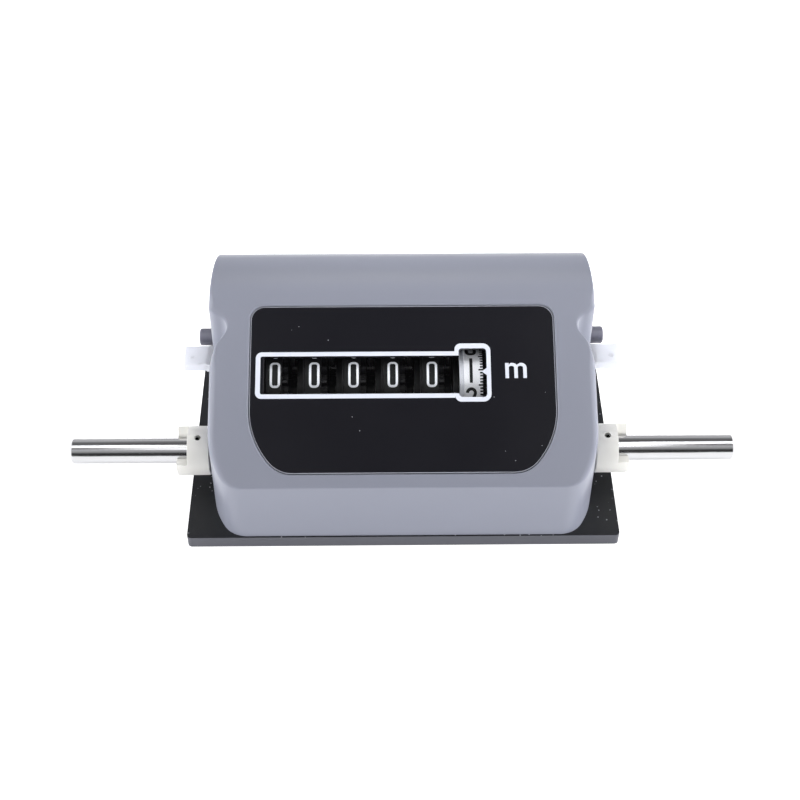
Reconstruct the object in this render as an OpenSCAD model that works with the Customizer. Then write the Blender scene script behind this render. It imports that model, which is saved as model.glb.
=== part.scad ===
// Mechanical length counter with a double-ended shaft: a sloped moulded hood on a base plate,
// with a number-wheel train inside. The shaft runs along X, and the window faces the front (-Y).

/* [Base plate] */
// Width of the base plate, along the shaft
plate_w = 115.2; // [112:0.2:130]
// Depth of the base plate, front to back
plate_d = 73; // [71:0.5:80]
// Thickness of the base plate
plate_t = 3.7; // [3:0.1:5]
// Corner radius of the base plate
plate_r = 1.2; // [0.5:0.1:3]
// Spacing of the tapped mounting holes along the shaft
mount_x = 60; // [50:1:64]
// Spacing of the tapped mounting holes front to back
mount_y = 52; // [46:1:54]
// Tapping radius of the mounting holes
mount_r = 1.65; // [1.2:0.05:2.1]

/* [Housing] */
// Width of the hood
case_w = 102; // [99:0.5:108]
// How far the hood stands back from the plate's front and back edges
case_setback = 0.5; // [0.2:0.1:1.5]
// Height of the upright front wall
front_h = 19.5; // [18.5:0.1:22]
// Angle of the sloped face
slope_deg = 26; // [24:0.5:28]
// Radius of the ridge between the slope and the back
ridge_r = 16; // [13:0.5:18]
// Wall thickness of the hood
case_wall = 2.2; // [2:0.1:2.6]
// Width of a rounded front corner, seen from above
corner_w = 9.4; // [8:0.1:12]
// Depth of a rounded front corner, seen from above
corner_l = 15.3; // [12:0.1:20]
// Small radius of a rounded front corner
corner_tip_r = 7; // [5:0.1:7.5]
// Radius of a back corner, seen from above
back_r = 6; // [4:0.5:8]
// Depth of the finger scoop in each side
scoop_depth = 4.3; // [3:0.1:4.8]
// Radius at the bottom of the scoop
scoop_r = 3.2; // [2.6:0.1:3.6]
// Run of the scoop's long front flank
scoop_front_run = 10.4; // [8:0.1:13]
// Run of the scoop's short back flank
scoop_back_run = 6.2; // [5.8:0.1:7]
// Height of the screw bosses at the back
back_boss_h = 18; // [10:1:24]
// Outer radius of a screw boss
boss_r = 3.4; // [2.8:0.1:3.8]

/* [Face panel] */
// Distance from the hood's side to the face panel
panel_side = 10.8; // [9:0.1:12]
// Distance from the crease to the panel's lower edge, along the slope
panel_low = 3.95; // [3:0.05:6]
// Length of the panel along the slope
panel_l = 46; // [44:0.5:48]
// Thickness of the panel
panel_t = 1; // [0.8:0.1:1.2]
// How far the panel sits below the slope
panel_sink = 0.3; // [0.1:0.05:0.5]
// Gap round the panel
panel_gap = 0.25; // [0.1:0.05:0.5]
// Height of the window over the black number wheels
window_h = 10.25; // [8:0.25:12]
// Height of the window over the white tenths wheel
tenths_window_h = 13.5; // [12:0.25:15]
// Radius of the window's corners
window_r = 0.8; // [0.3:0.1:1.5]
// Thickness of the lens's rim
lens_t = 0.6; // [0.4:0.1:0.7]
// Width of the lens's rim behind the panel
lens_rim = 1.4; // [0.8:0.1:1.6]

/* [Number wheels] */
// Number of black number wheels
wheels = 5; // [3:1:5]
// Distance from the crease to the middle of the window, along the slope
window_s = 31.5; // [30:0.1:33]
// Outer radius of the number wheels
wheel_r = 13; // [12.6:0.1:13.1]
// How far the wheel rims lie below the sloped face
wheel_gap = 2.4; // [2.3:0.1:3.2]
// Distance from one number wheel to the next
wheel_pitch = 10.37; // [10.3:0.01:10.6]
// Length of the spacer between the left frame and the last number wheel
left_spacer = 1.07; // [0.5:0.01:2]
// Width of a black wheel's printed rim
rim_w = 3.5; // [3.2:0.1:3.6]
// Width of the tenths wheel's printed rim
tenths_rim_w = 5; // [4.6:0.1:5.2]
// Width of the shoulder beside a rim
shoulder_w = 1.3; // [1:0.1:1.4]
// Step from a rim down to its shoulder
shoulder_step = 0.6; // [0.3:0.1:1]
// Radius of the wheel shaft
arbor_r = 2; // [1.6:0.1:2.1]
// Running clearance of wheels and pinions on their shafts
run_gap = 0.05; // [0.03:0.01:0.08]

/* [Gears] */
// Teeth on the drive gear
drive_teeth = 16; // [16:1:16]
// Teeth on the tenths wheel's gear
tenths_teeth = 32; // [32:1:32]
// Module of the drive gears
drive_module = 0.7; // [0.7:0.005:0.72]
// Teeth on a number wheel's ring
ring_teeth = 20; // [20:10:20]
// Teeth on a transfer pinion
pinion_teeth = 8; // [8:1:8]
// Module of the transfer gears
ring_module = 1.1; // [1.08:0.01:1.12]
// Part of each tooth that is taken off for backlash
backlash = 0.1; // [0.08:0.01:0.2]
// Direction of the drive shaft, forward and down from the wheel shaft
drive_deg = 27.4; // [24:0.2:32]
// Direction of the pinion shaft, backward and down from the wheel shaft
pinion_deg = 48; // [42:1:54]

/* [Drive shaft] */
// Radius of the drive shaft
shaft_r = 3.5; // [3:0.1:3.5]
// Length of the drive shaft
shaft_l = 178.6; // [170:0.2:220]
// Chamfer at the shaft's ends
shaft_chamfer = 0.6; // [0.2:0.1:1]
// Depth of the relief groove in the shaft beside each collar
groove_depth = 0.2; // [0.2:0.05:0.4]
// Width of the relief grooves
groove_w = 0.6; // [0.4:0.1:1]
// Outer radius of a drive collar
collar_r = 6.6; // [5.5:0.1:7.5]
// Length of a collar's round body
collar_l = 6.9; // [5:0.1:9]
// Length of a collar's driving dogs
dog_l = 2.8; // [1.5:0.1:4]
// Chamfer round the dogs' ends
dog_chamfer = 0.35; // [0.1:0.05:0.8]
// Angle that each driving dog spans
dog_span = 64; // [40:1:90]
// Direction of the front dog's middle below the horizontal
dog_deg = 20.5; // [0:0.5:90]
// Lean of the cross pin, forward from the vertical
pin_deg = 10.5; // [0:0.5:45]
// Radius of the collar's cross pin
pin_r = 0.75; // [0.5:0.05:1]
// How far the pin's ends lie below the collar
pin_sink = 1.1; // [0.3:0.1:1.5]

/* [Reset gear] */
// Reset rod behind the wheel shaft
reset_back = 16.9; // [16.5:0.1:18]
// Reset rod above the wheel shaft
reset_up = 4; // [3:0.1:5]
// Radius of the reset rod
rod_r = 1.5; // [1.2:0.1:1.6]
// Radius of the grey rod caps
cap_r = 2.4; // [2.2:0.05:3]
// How far a rod cap stands out of the hood
cap_out = 5; // [3:0.5:8]
// Chamfer at a rod cap's end
cap_chamfer = 0.5; // [0.2:0.1:1]
// How far a paddle stands out of the hood
paddle_out = 8.7; // [7:0.1:12]
// Depth of a paddle, front to back
paddle_d = 7.1; // [6:0.1:7.3]
// Thickness of a paddle
paddle_t = 2.5; // [2.2:0.1:2.8]
// Corner radius of a paddle, seen from above
paddle_r = 0.7; // [0.3:0.1:1.5]
// Front edge of a paddle ahead of the reset rod
paddle_reach = 11.9; // [11.6:0.1:13]
// Top of a paddle above the reset rod
paddle_up = 1.4; // [1:0.1:1.8]
// Travel of the paddles when they are pressed
travel_deg = 14; // [12:0.5:14]
// Thickness of the yoke's arms
yoke_t = 1.2; // [1:0.1:1.3]
// Wire radius of the return spring
spring_wire_r = 0.3; // [0.2:0.05:0.35]
// Coil radius of the return spring, to the wire's middle
spring_r = 1.9; // [1.8:0.1:2]
// Turns of the return spring
spring_turns = 8; // [6:1:12]

/* [Frames] */
// Thickness of the side frames
frame_t = 1.2; // [1:0.1:1.5]
// Room between each side frame and the hood's side wall
frame_room = 9.6; // [9.4:0.1:10]
// Front edge of the side frames ahead of the wheel shaft
frame_front = 19; // [18:0.5:20]
// Back edge of the side frames behind the wheel shaft
frame_back = 26; // [25:0.5:27]
// Clearance between a frame's foot and the screw boss behind it
foot_gap = 1.1; // [0.5:0.1:2]
// Radius of the tie rods
tie_r = 2.5; // [2:0.1:2.6]
// Radius of the pinion shaft
pinion_shaft_r = 1.5; // [1.2:0.1:1.6]
// Outer radius of the shaft bushes
bush_r = 5; // [4.5:0.1:5.5]
// Clearance of pieces fixed to each other
fit_gap = 0.02; // [0.01:0.01:0.05]
// Clearance round pieces that pass through the hood
pass_gap = 0.3; // [0.2:0.05:0.5]
// Radius of the assembly screws
screw_r = 1.5; // [1.2:0.05:1.6]

/* [Hidden] */
$fn = 96;
// Cuts run past the faces that they open
eps = 1;
// Arcs that would touch at a tangent cross by a hair instead, so that their faces meet cleanly
bite = 0.005;
kink_deg = 2.5;

// Hood
front_y = -plate_d / 2 + case_setback;
back_y = -front_y;
crease_z = plate_t + front_h;
ridge_y = back_y - ridge_r;
ridge_z = slope_z(ridge_y) - ridge_r / cos(slope_deg);
top_z = ridge_z + ridge_r;
side_x = case_w / 2;
inner_x = side_x - case_wall;
panel_w = case_w - 2 * panel_side;
boss_x = inner_x - boss_r + 0.3;
front_boss_y = front_y + 10.5;
back_boss_y = back_y - 7;
pilot_r = screw_r - 0.25;

// Shaft axes, each as a point in the side view
wheel_axis = [front_y + window_s * cos(slope_deg) + (wheel_r + wheel_gap) * sin(slope_deg),
    crease_z + window_s * sin(slope_deg) - (wheel_r + wheel_gap) * cos(slope_deg)];
drive_axis = wheel_axis + polar(drive_module * (drive_teeth + tenths_teeth) / 2, 180 + drive_deg);
pinion_axis = wheel_axis + polar(ring_module * (ring_teeth + pinion_teeth) / 2, -pinion_deg);
reset_axis = wheel_axis + [reset_back, reset_up];
tie_axes = [wheel_axis + [-4.5, -15.6], wheel_axis + [21.9, -13.7], wheel_axis + [10.9, 15.6]];

// Number wheels, placed from the middle of their printed digits
ring_w = 1.5;
transfer_w = 1.6;
transfer_r = 9.4;
transfer_tip_r = 11.3;
hub_r = arbor_r + 0.95;
web_t = 1.7;
heart_t = 1.6;
heart_min = 3.3;
heart_max = 5.5;
hammer_rest = heart_max + 0.2;
side_play = 0.15;
rim_left = -rim_w / 2;
rim_right = rim_w / 2;
wheel_left = rim_left - shoulder_w - transfer_w;
heart_left = rim_right + ring_w + 0.45;
hub_right = wheel_pitch + wheel_left - side_play;
pinion_left = rim_right + side_play;
pinion_right = wheel_pitch + rim_left - shoulder_w - 2 * side_play;
tenths_left = -1.9;
tenths_right = tenths_left + tenths_rim_w;
tenths_gear_w = 3;
tenths_heart_left = tenths_right + tenths_gear_w + 0.5;
tenths_hub_right = tenths_heart_left + heart_t + 0.4;
digit_deg = 36;

// Frames and what stands beside them
frame_x = inner_x - frame_room - frame_t;
frame_out_x = frame_x + frame_t;
frame_front_y = wheel_axis[0] - frame_front;
frame_back_y = wheel_axis[0] + frame_back;
foot_back_y = back_boss_y - boss_r - foot_gap;
roof_gap = 2.2;
bend_r = 1;
nut_r = 2 * screw_r;
nut_gap = 0.1;
nut_h = 2.2;
flange_w = bend_r + 2 * nut_r + nut_gap;
flange_z = plate_t + frame_t;
frame_screw_x = frame_out_x + bend_r + nut_gap + nut_r;
frame_screw_y = [frame_front_y + nut_r + 1.6, foot_back_y - nut_r - 0.5];
bush_flange = 1;
bush_in = 0.8;
tenths_x = left_spacer + side_play + shoulder_w - rim_left - frame_x + wheels * wheel_pitch;
arm_x = frame_out_x + 0.8;
spring_x = -(frame_out_x + spring_r + spring_wire_r + 0.45);
spring_y = reset_axis[0] - paddle_reach + paddle_d / 2;
paddle_top = reset_axis[1] + paddle_up;
paddle_bottom = paddle_top - paddle_t;
scoop_y = reset_axis[0] - paddle_reach - 0.1;
scoop_floor = paddle_bottom - paddle_reach * sin(travel_deg) - 1.4;
cap_in_x = inner_x - 1.6;
collar_x = side_x + 0.5;
free_x = collar_x + collar_l + dog_l;

// Height of the sloped face above a place y
function slope_z(y) = crease_z + (y - front_y) * tan(slope_deg);
function polar(r, a) = [r * cos(a), r * sin(a)];
// A point turned by a degrees about a centre
function turned(p, centre, a) = centre + [
    (p[0] - centre[0]) * cos(a) - (p[1] - centre[1]) * sin(a),
    (p[0] - centre[0]) * sin(a) + (p[1] - centre[1]) * cos(a)];
function flipped(points) = [for (i = [len(points) - 1:-1:0]) [-points[i][0], points[i][1]]];
function wheel_x(k) = tenths_x - k * wheel_pitch;

// Involute tooth form: half the tooth's angle at radius r
pressure_deg = 20;
addendum = 0.9;
dedendum = 1.2;
function involute_deg(a) = tan(a) * 180 / PI - a;
function half_tooth(teeth, m, r) =
    let (base = m * teeth / 2 * cos(pressure_deg))
    90 / teeth * (1 - backlash) + involute_deg(pressure_deg) - involute_deg(acos(min(1, base / r)));
function tooth_radii(teeth, m) =
    let (pitch = m * teeth / 2, root = pitch - dedendum * m, base = pitch * cos(pressure_deg))
    [root, max(base, root + 0.05), pitch, pitch + addendum * m];
function tooth_points(teeth, m, mid) =
    let (radii = tooth_radii(teeth, m), floor_r = m * teeth / 2 * cos(pressure_deg))
    concat(
        [for (r = radii) polar(r, mid - half_tooth(teeth, m, max(r, floor_r)))],
        [for (i = [len(radii) - 1:-1:0])
            polar(radii[i], mid + half_tooth(teeth, m, max(radii[i], floor_r)))]);
function gear_points(teeth, m) =
    [for (i = [0:teeth - 1]) each tooth_points(teeth, m, 360 * i / teeth)];

// Draws a side view, given in Y and Z, from x0 to x1
module from_to(x0, x1) {
    translate([x0, 0, 0]) rotate([90, 0, 90]) linear_extrude(x1 - x0) children();
}

module disc(x0, x1, axis, r) {
    from_to(x0, x1) translate(axis) circle(r);
}

// The chamfered end of a round piece that reaches x1
module chamfer_end(x1, axis, r, c) {
    translate([x1 - c, axis[0], axis[1]]) rotate([0, 90, 0]) cylinder(c, r1 = r, r2 = r - c);
}

// Draws on the sloped face: x across, y up the slope from the crease, z out of the face
module on_slope() {
    translate([0, front_y, crease_z]) rotate([slope_deg, 0, 0]) children();
}

// Outline with two soft front corners, each of a small and a large arc, and round back corners
module soft_plan(half_w, y0, y1, soft_w, soft_l, tip_r, end_r) {
    side_r = (pow(soft_w, 2) + pow(soft_l - tip_r, 2) - pow(tip_r, 2))
        / (2 * (soft_w - tip_r * cos(kink_deg)));
    side_c = [-half_w + side_r, y0 + soft_l];
    tip_c = [-half_w + soft_w, y0 + tip_r];
    reach = 2 * side_r * (tip_c - side_c) / norm(tip_c - side_c);
    front = [[-half_w, side_c[1]], tip_c, [tip_c[0], y0]];
    back = [[end_r - half_w, y1], [end_r - half_w, y1 - end_r], [-half_w, y1 - end_r]];
    polygon(concat(front, flipped(front), flipped(back), back));
    for (side = [0, 1]) mirror([side, 0]) {
        intersection() {
            translate(side_c) circle(side_r);
            polygon([side_c, side_c - [2 * side_r, 0], side_c + reach]);
        }
        translate(tip_c) circle(tip_r);
        translate([end_r - half_w, y1 - end_r]) circle(end_r);
    }
}

module rounded_rect(x0, y0, x1, y1, r) {
    translate([x0 + r, y0]) square([x1 - x0 - 2 * r, y1 - y0]);
    translate([x0, y0 + r]) square([x1 - x0, y1 - y0 - 2 * r]);
    for (x = [x0 + r, x1 - r], y = [y0 + r, y1 - r]) translate([x, y]) circle(r);
}

// The hood's full form, set in by a wall: a sloped block and its ridge, cut to the plan
module case_solid(inset) {
    half_w = side_x - inset;
    crease = [front_y + inset, slope_z(front_y + inset) - inset / cos(slope_deg)];
    ridge = [ridge_y, ridge_z];
    intersection() {
        union() {
            from_to(-half_w, half_w)
                polygon([[crease[0], plate_t - inset], crease,
                    ridge + (ridge_r - inset) * [-sin(slope_deg), cos(slope_deg)],
                    [back_y - inset, ridge_z], [back_y - inset, plate_t - inset]]);
            disc(-half_w, half_w, ridge, ridge_r - inset + bite);
        }
        translate([0, 0, -eps]) linear_extrude(top_z + 2 * eps)
            soft_plan(half_w, front_y + inset, back_y - inset, corner_w - inset,
                corner_l - inset, corner_tip_r - inset, back_r - inset);
    }
}

// Plan of a finger scoop: x inward from the side, with flanks that run out in arcs
module scoop_plan(grow) {
    bottom_c = [scoop_depth - scoop_r, scoop_y];
    bottom_r = scoop_r + grow;
    front_c = flank_centre(bottom_c, -scoop_front_run);
    back_c = flank_centre(bottom_c, scoop_back_run);
    difference() {
        polygon([[-eps, front_c[1]], [grow, front_c[1]], meet(front_c, bottom_c, grow), bottom_c,
            meet(back_c, bottom_c, grow), [grow, back_c[1]], [-eps, back_c[1]]]);
        translate(front_c) circle(front_c[0] - grow + bite);
        translate(back_c) circle(back_c[0] - grow + bite);
    }
    translate(bottom_c) circle(bottom_r);
}

// Centre of the arc that runs from the side face into the scoop's bottom arc
function flank_centre(bottom_c, run) =
    [(run * run + pow(bottom_c[0], 2) - pow(scoop_r, 2)) / (2 * (scoop_r + bottom_c[0])),
        bottom_c[1] + run];
function meet(flank_c, bottom_c, grow) =
    flank_c + (flank_c[0] - grow) * (bottom_c - flank_c) / norm(bottom_c - flank_c);

module scoops(grow) {
    for (side = [0, 1]) mirror([side, 0, 0])
        translate([-side_x, 0, scoop_floor - grow]) linear_extrude(top_z) scoop_plan(grow);
}

module bosses(grow, h_front, h_back) {
    for (side = [-1, 1]) {
        translate([side * boss_x, front_boss_y, plate_t - eps]) cylinder(h_front + eps, r = grow);
        translate([side * boss_x, back_boss_y, plate_t - eps]) cylinder(h_back + eps, r = grow);
    }
}

module panel_plan(grow) {
    translate([0, panel_low])
        soft_plan(panel_w / 2 + grow, -grow, panel_l + grow, 11.5 + grow, 17.5 + grow,
            8 + grow, 3.8 + grow);
}

// The window: a long opening over the black wheels and a taller one over the tenths wheel
module window_plan(grow) {
    r = window_r + grow;
    rounded_rect(wheel_x(wheels) - 2.8 - grow, window_s - 0.8 - window_h / 2 - grow,
        tenths_x + 3.9 + grow, window_s - 0.8 + window_h / 2 + grow, r);
    rounded_rect(tenths_x - 3.2 - grow, window_s - 0.45 - tenths_window_h / 2 - grow,
        tenths_x + 3.9 + grow, window_s - 0.45 + tenths_window_h / 2 + grow, r);
}

// What passes through the hood's sides: shaft slots, rod cap holes and paddle slots
module side_openings() {
    slot_r = shaft_r + 2 * pass_gap;
    translate(drive_axis) circle(slot_r);
    translate([drive_axis[0] - slot_r, plate_t - eps])
        square([2 * slot_r, drive_axis[1] - plate_t + eps]);
    translate(reset_axis) circle(cap_r + pass_gap);
    translate([reset_axis[0] - paddle_reach - 0.5, scoop_floor + 0.3])
        square([paddle_d + 1.15, paddle_top + pass_gap - scoop_floor - 0.3]);
}

module housing() {
    color([0.56, 0.57, 0.61]) difference() {
        case_solid(0);
        difference() {
            case_solid(case_wall);
            scoops(case_wall);
            bosses(boss_r, top_z, back_boss_h);
        }
        scoops(0);
        bosses(pilot_r, 10, 10);
        from_to(-side_x - eps, side_x + eps) side_openings();
        on_slope() translate([0, 0, -panel_sink - panel_t]) linear_extrude(10)
            panel_plan(panel_gap);
        on_slope() translate([0, 0, -10]) linear_extrude(10) window_plan(lens_rim + 0.2);
    }
}

module base_plate() {
    color([0.16, 0.16, 0.18]) difference() {
        linear_extrude(plate_t)
            rounded_rect(-plate_w / 2, -plate_d / 2, plate_w / 2, plate_d / 2, plate_r);
        for (x = [-1, 1], y = [-1, 1])
            translate([x * mount_x / 2, y * mount_y / 2, -eps])
                cylinder(plate_t + 2 * eps, r = mount_r);
        for (x = [-1, 1]) {
            for (y = [front_boss_y, back_boss_y]) screw_hole([x * boss_x, y]);
            for (y = frame_screw_y) screw_hole([x * frame_screw_x, y]);
        }
    }
}

// A countersunk screw from below, and the hole that it sits in
module screw(place, length) {
    translate([place[0], place[1], 0.2]) {
        cylinder(1.6, r1 = 2 * screw_r - 0.1, r2 = screw_r - 0.05);
        cylinder(length - 0.2, r = screw_r - 0.05);
    }
}

module screw_hole(place) {
    translate([place[0], place[1], 0]) {
        translate([0, 0, -eps]) cylinder(plate_t + 2 * eps, r = screw_r + 0.1);
        translate([0, 0, -eps]) cylinder(eps + 0.2, r = 2 * screw_r);
        translate([0, 0, 0.2]) cylinder(1.6, r1 = 2 * screw_r, r2 = screw_r + 0.05);
    }
}

module housing_screws() {
    color("silver") for (x = [-1, 1], y = [front_boss_y, back_boss_y])
        translate([x * boss_x, y, 0.2]) {
            cylinder(1.6, r1 = 2 * screw_r - 0.1, r2 = pilot_r - fit_gap);
            cylinder(plate_t + 8, r = pilot_r - fit_gap);
        }
}

module frame_screws() {
    color("silver") for (x = [-1, 1], y = frame_screw_y)
        screw([x * frame_screw_x, y], flange_z + nut_h + 0.6);
}

module frame_nuts() {
    color("silver") for (x = [-1, 1], y = frame_screw_y)
        translate([x * frame_screw_x, y, flange_z]) difference() {
            cylinder(nut_h, r = nut_r, $fn = 6);
            translate([0, 0, -eps]) cylinder(nut_h + 2 * eps, r = screw_r);
        }
}

module face_panel() {
    color([0.13, 0.13, 0.15]) on_slope() translate([0, 0, -panel_sink - panel_t])
        linear_extrude(panel_t) difference() {
            panel_plan(0);
            window_plan(0);
        }
}

module window_lens() {
    color([0.8, 0.85, 0.9, 0.35]) on_slope() translate([0, 0, -panel_sink - panel_t - lens_t]) {
        linear_extrude(lens_t) window_plan(lens_rim);
        linear_extrude(lens_t + panel_t - 0.05) window_plan(-0.05);
    }
}

// Side frame of bent sheet, right-hand form
module frame_sheet() {
    roof = -case_wall / cos(slope_deg) - roof_gap;
    peak_y = reset_axis[0] - 3.5;
    rear_y = reset_axis[0] + 3.5;
    peak_z = slope_z(peak_y) + roof;
    outline = [[frame_front_y, flange_z + bend_r], [frame_front_y, slope_z(frame_front_y) + roof],
        [peak_y, peak_z], [peak_y + 3, peak_z], [rear_y, peak_z - 4],
        [rear_y, reset_axis[1] - 6], [frame_back_y, flange_z + 9.5], [frame_back_y, flange_z + bend_r]];
    difference() {
        from_to(frame_x, frame_out_x) polygon(outline);
        disc(frame_x - eps, frame_out_x + eps, drive_axis, bush_r + fit_gap);
        disc(frame_x - eps, frame_out_x + eps, wheel_axis, arbor_r + fit_gap);
        disc(frame_x - eps, frame_out_x + eps, pinion_axis, pinion_shaft_r + fit_gap);
        disc(frame_x - eps, frame_out_x + eps, reset_axis, rod_r + fit_gap);
        for (axis = tie_axes) disc(frame_x - eps, frame_out_x + eps, axis, tie_r - 1 + fit_gap);
    }
    // Bend and foot flange
    translate([0, frame_front_y, 0]) rotate([90, 0, 0]) mirror([0, 0, 1])
        linear_extrude(foot_back_y - frame_front_y) {
            translate([frame_out_x + bend_r, flange_z + bend_r]) intersection() {
                difference() {
                    circle(bend_r + frame_t);
                    circle(bend_r);
                }
                translate([-10, -10]) square(10);
            }
            translate([frame_out_x + bend_r, plate_t]) square([flange_w - bend_r, frame_t]);
        }
}

module frame_holes() {
    for (y = frame_screw_y)
        translate([frame_screw_x, y, plate_t - eps]) cylinder(frame_t + 2 * eps, r = screw_r + 0.1);
}

module right_frame() {
    color([0.72, 0.73, 0.75]) difference() {
        frame_sheet();
        frame_holes();
    }
}

module left_frame() {
    color([0.72, 0.73, 0.75]) {
        mirror([1, 0, 0]) difference() {
            frame_sheet();
            frame_holes();
        }
        // Stud that centres the return spring
        translate([spring_x, spring_y, plate_t]) cylinder(frame_t + 2.5, r = spring_r - 0.6);
    }
}

module tie_rods() {
    color("silver") for (axis = tie_axes) {
        disc(-frame_x, frame_x, axis, tie_r);
        disc(-frame_out_x - 0.6, frame_out_x + 0.6, axis, tie_r - 1);
    }
}

module wheel_shaft() {
    color("silver") disc(-frame_out_x - 0.3, frame_out_x + 0.3, wheel_axis, arbor_r);
}

module pinion_shaft() {
    color("silver") disc(-frame_out_x - 0.3, frame_out_x + 0.3, pinion_axis, pinion_shaft_r);
}

// Tubes that keep the wheels in place between the frames
module wheel_spacers() {
    left_end = wheel_x(wheels) + rim_left - shoulder_w - side_play;
    right_start = tenths_x + tenths_hub_right + side_play;
    color([0.85, 0.85, 0.83]) {
        spacer(-frame_x, left_end);
        spacer(right_start, frame_x);
    }
}

module spacer(x0, x1) {
    difference() {
        disc(x0, x1, wheel_axis, hub_r);
        disc(x0 - eps, x1 + eps, wheel_axis, arbor_r + fit_gap);
    }
}

module bush() {
    difference() {
        union() {
            disc(frame_x - bush_in, frame_out_x + bush_flange, drive_axis, bush_r);
            disc(frame_out_x, frame_out_x + bush_flange, drive_axis, bush_r + 1.4);
        }
        disc(frame_x - bush_in - eps, frame_out_x + bush_flange + eps, drive_axis,
            shaft_r + run_gap);
    }
}

module right_bush() {
    color([0.75, 0.6, 0.35]) bush();
}

module left_bush() {
    color([0.75, 0.6, 0.35]) mirror([1, 0, 0]) bush();
}

module reset_rod() {
    color("silver") disc(-side_x - cap_out + 1.6, side_x + cap_out - 1.6, reset_axis, rod_r);
}

module rod_cap() {
    difference() {
        union() {
            disc(cap_in_x, side_x + cap_out - cap_chamfer, reset_axis, cap_r);
            chamfer_end(side_x + cap_out, reset_axis, cap_r, cap_chamfer);
        }
        disc(cap_in_x - eps, side_x + cap_out - 1.6 + fit_gap, reset_axis, rod_r + fit_gap);
    }
}

module right_rod_cap() {
    color([0.4, 0.4, 0.44]) rod_cap();
}

module left_rod_cap() {
    color([0.4, 0.4, 0.44]) mirror([1, 0, 0]) rod_cap();
}

// Helical return spring under the left paddle, as a tube swept along its wire
module reset_spring() {
    steps = 12 * spring_turns;
    sides = 6;
    z0 = flange_z + spring_wire_r + 0.05;
    rise = paddle_bottom - spring_wire_r - 0.05 - z0;
    points = [for (i = [0:steps], j = [0:sides - 1])
        let (turn = 30 * i, r = spring_r + spring_wire_r * cos(60 * j))
        [spring_x - r * cos(turn), spring_y - r * sin(turn),
            z0 + rise * i / steps + spring_wire_r * sin(60 * j)]];
    walls = [for (i = [0:steps - 1], j = [0:sides - 1])
        let (a = i * sides + j, b = i * sides + (j + 1) % sides) [a, a + sides, b + sides, b]];
    caps = [[for (j = [0:sides - 1]) j], [for (j = [sides - 1:-1:0]) steps * sides + j]];
    color("silver") polyhedron(points, concat(walls, caps));
}

module drive_shaft() {
    end = shaft_l / 2 - shaft_chamfer;
    color([0.8, 0.8, 0.82]) difference() {
        union() {
            disc(-end, end, drive_axis, shaft_r);
            for (side = [0, 1]) mirror([side, 0, 0])
                chamfer_end(shaft_l / 2, drive_axis, shaft_r, shaft_chamfer);
        }
        for (side = [-1, 1])
            from_to(side * free_x - groove_w / 2, side * free_x + groove_w / 2)
                translate(drive_axis) difference() {
                    circle(shaft_r + eps);
                    circle(shaft_r - groove_depth);
                }
        collar_cross(shaft_r + eps, pin_r + fit_gap);
    }
}

// A pin or hole across each collar
module collar_cross(half_l, r) {
    for (side = [-1, 1])
        translate([side * (collar_x + collar_l / 2), drive_axis[0], drive_axis[1]])
            rotate([pin_deg, 0, 0]) cylinder(2 * half_l, r = r, center = true);
}

module collar_pins() {
    color("silver") collar_cross(collar_r - pin_sink, pin_r);
}

// Wedge between two dogs, up to half_deg to each side of its middle
module dog_gap(half_deg, r) {
    polygon([[0, 0], polar(r, -half_deg), [r, 0], polar(r, half_deg)]);
}

module collar() {
    difference() {
        union() {
            disc(collar_x, free_x - dog_chamfer, drive_axis, collar_r);
            chamfer_end(free_x, drive_axis, collar_r, dog_chamfer);
        }
        disc(collar_x - eps, free_x + eps, drive_axis, shaft_r + fit_gap);
        from_to(free_x - dog_l, free_x + eps) translate(drive_axis)
            for (a = [90, 270]) rotate(dog_deg + a) dog_gap(90 - dog_span / 2, 2 * collar_r);
        collar_cross(collar_r + eps, pin_r + fit_gap);
    }
}

module right_collar() {
    color([0.9, 0.9, 0.88]) collar();
}

module left_collar() {
    color([0.9, 0.9, 0.88]) mirror([1, 0, 0]) collar();
}

module drive_gear() {
    x0 = tenths_x + tenths_right + 0.2;
    x1 = x0 + tenths_gear_w - 0.4;
    hub_end = frame_x - bush_in - side_play;
    color([0.85, 0.82, 0.7]) difference() {
        union() {
            from_to(x0, x1) translate(drive_axis) rotate(drive_deg)
                polygon(gear_points(drive_teeth, drive_module));
            disc(x1, hub_end, drive_axis, shaft_r + 1.2);
        }
        disc(x0 - eps, hub_end + eps, drive_axis, shaft_r + fit_gap);
    }
}

// Heart cam: low where the hammer presses, rising evenly to the far side
module heart(x0, low_deg) {
    from_to(x0, x0 + heart_t) translate(wheel_axis) rotate(low_deg)
        polygon([for (a = [-180:12:168]) polar(heart_min + (heart_max - heart_min) * abs(a) / 180, a)]);
}

// Disc with the two teeth that move the next pinion on once a turn
module transfer_disc(x0, mid_deg) {
    disc(x0, x0 + transfer_w, wheel_axis, transfer_r);
    from_to(x0, x0 + transfer_w) translate(wheel_axis) intersection() {
        circle(transfer_tip_r);
        union() for (step = [-0.5, 0.5])
            polygon(concat([[0, 0]],
                tooth_points(ring_teeth, ring_module, mid_deg + step * 360 / ring_teeth)));
    }
}

module wheel_bore(x) {
    disc(x - 12, x + 12, wheel_axis, arbor_r + run_gap);
}

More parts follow.
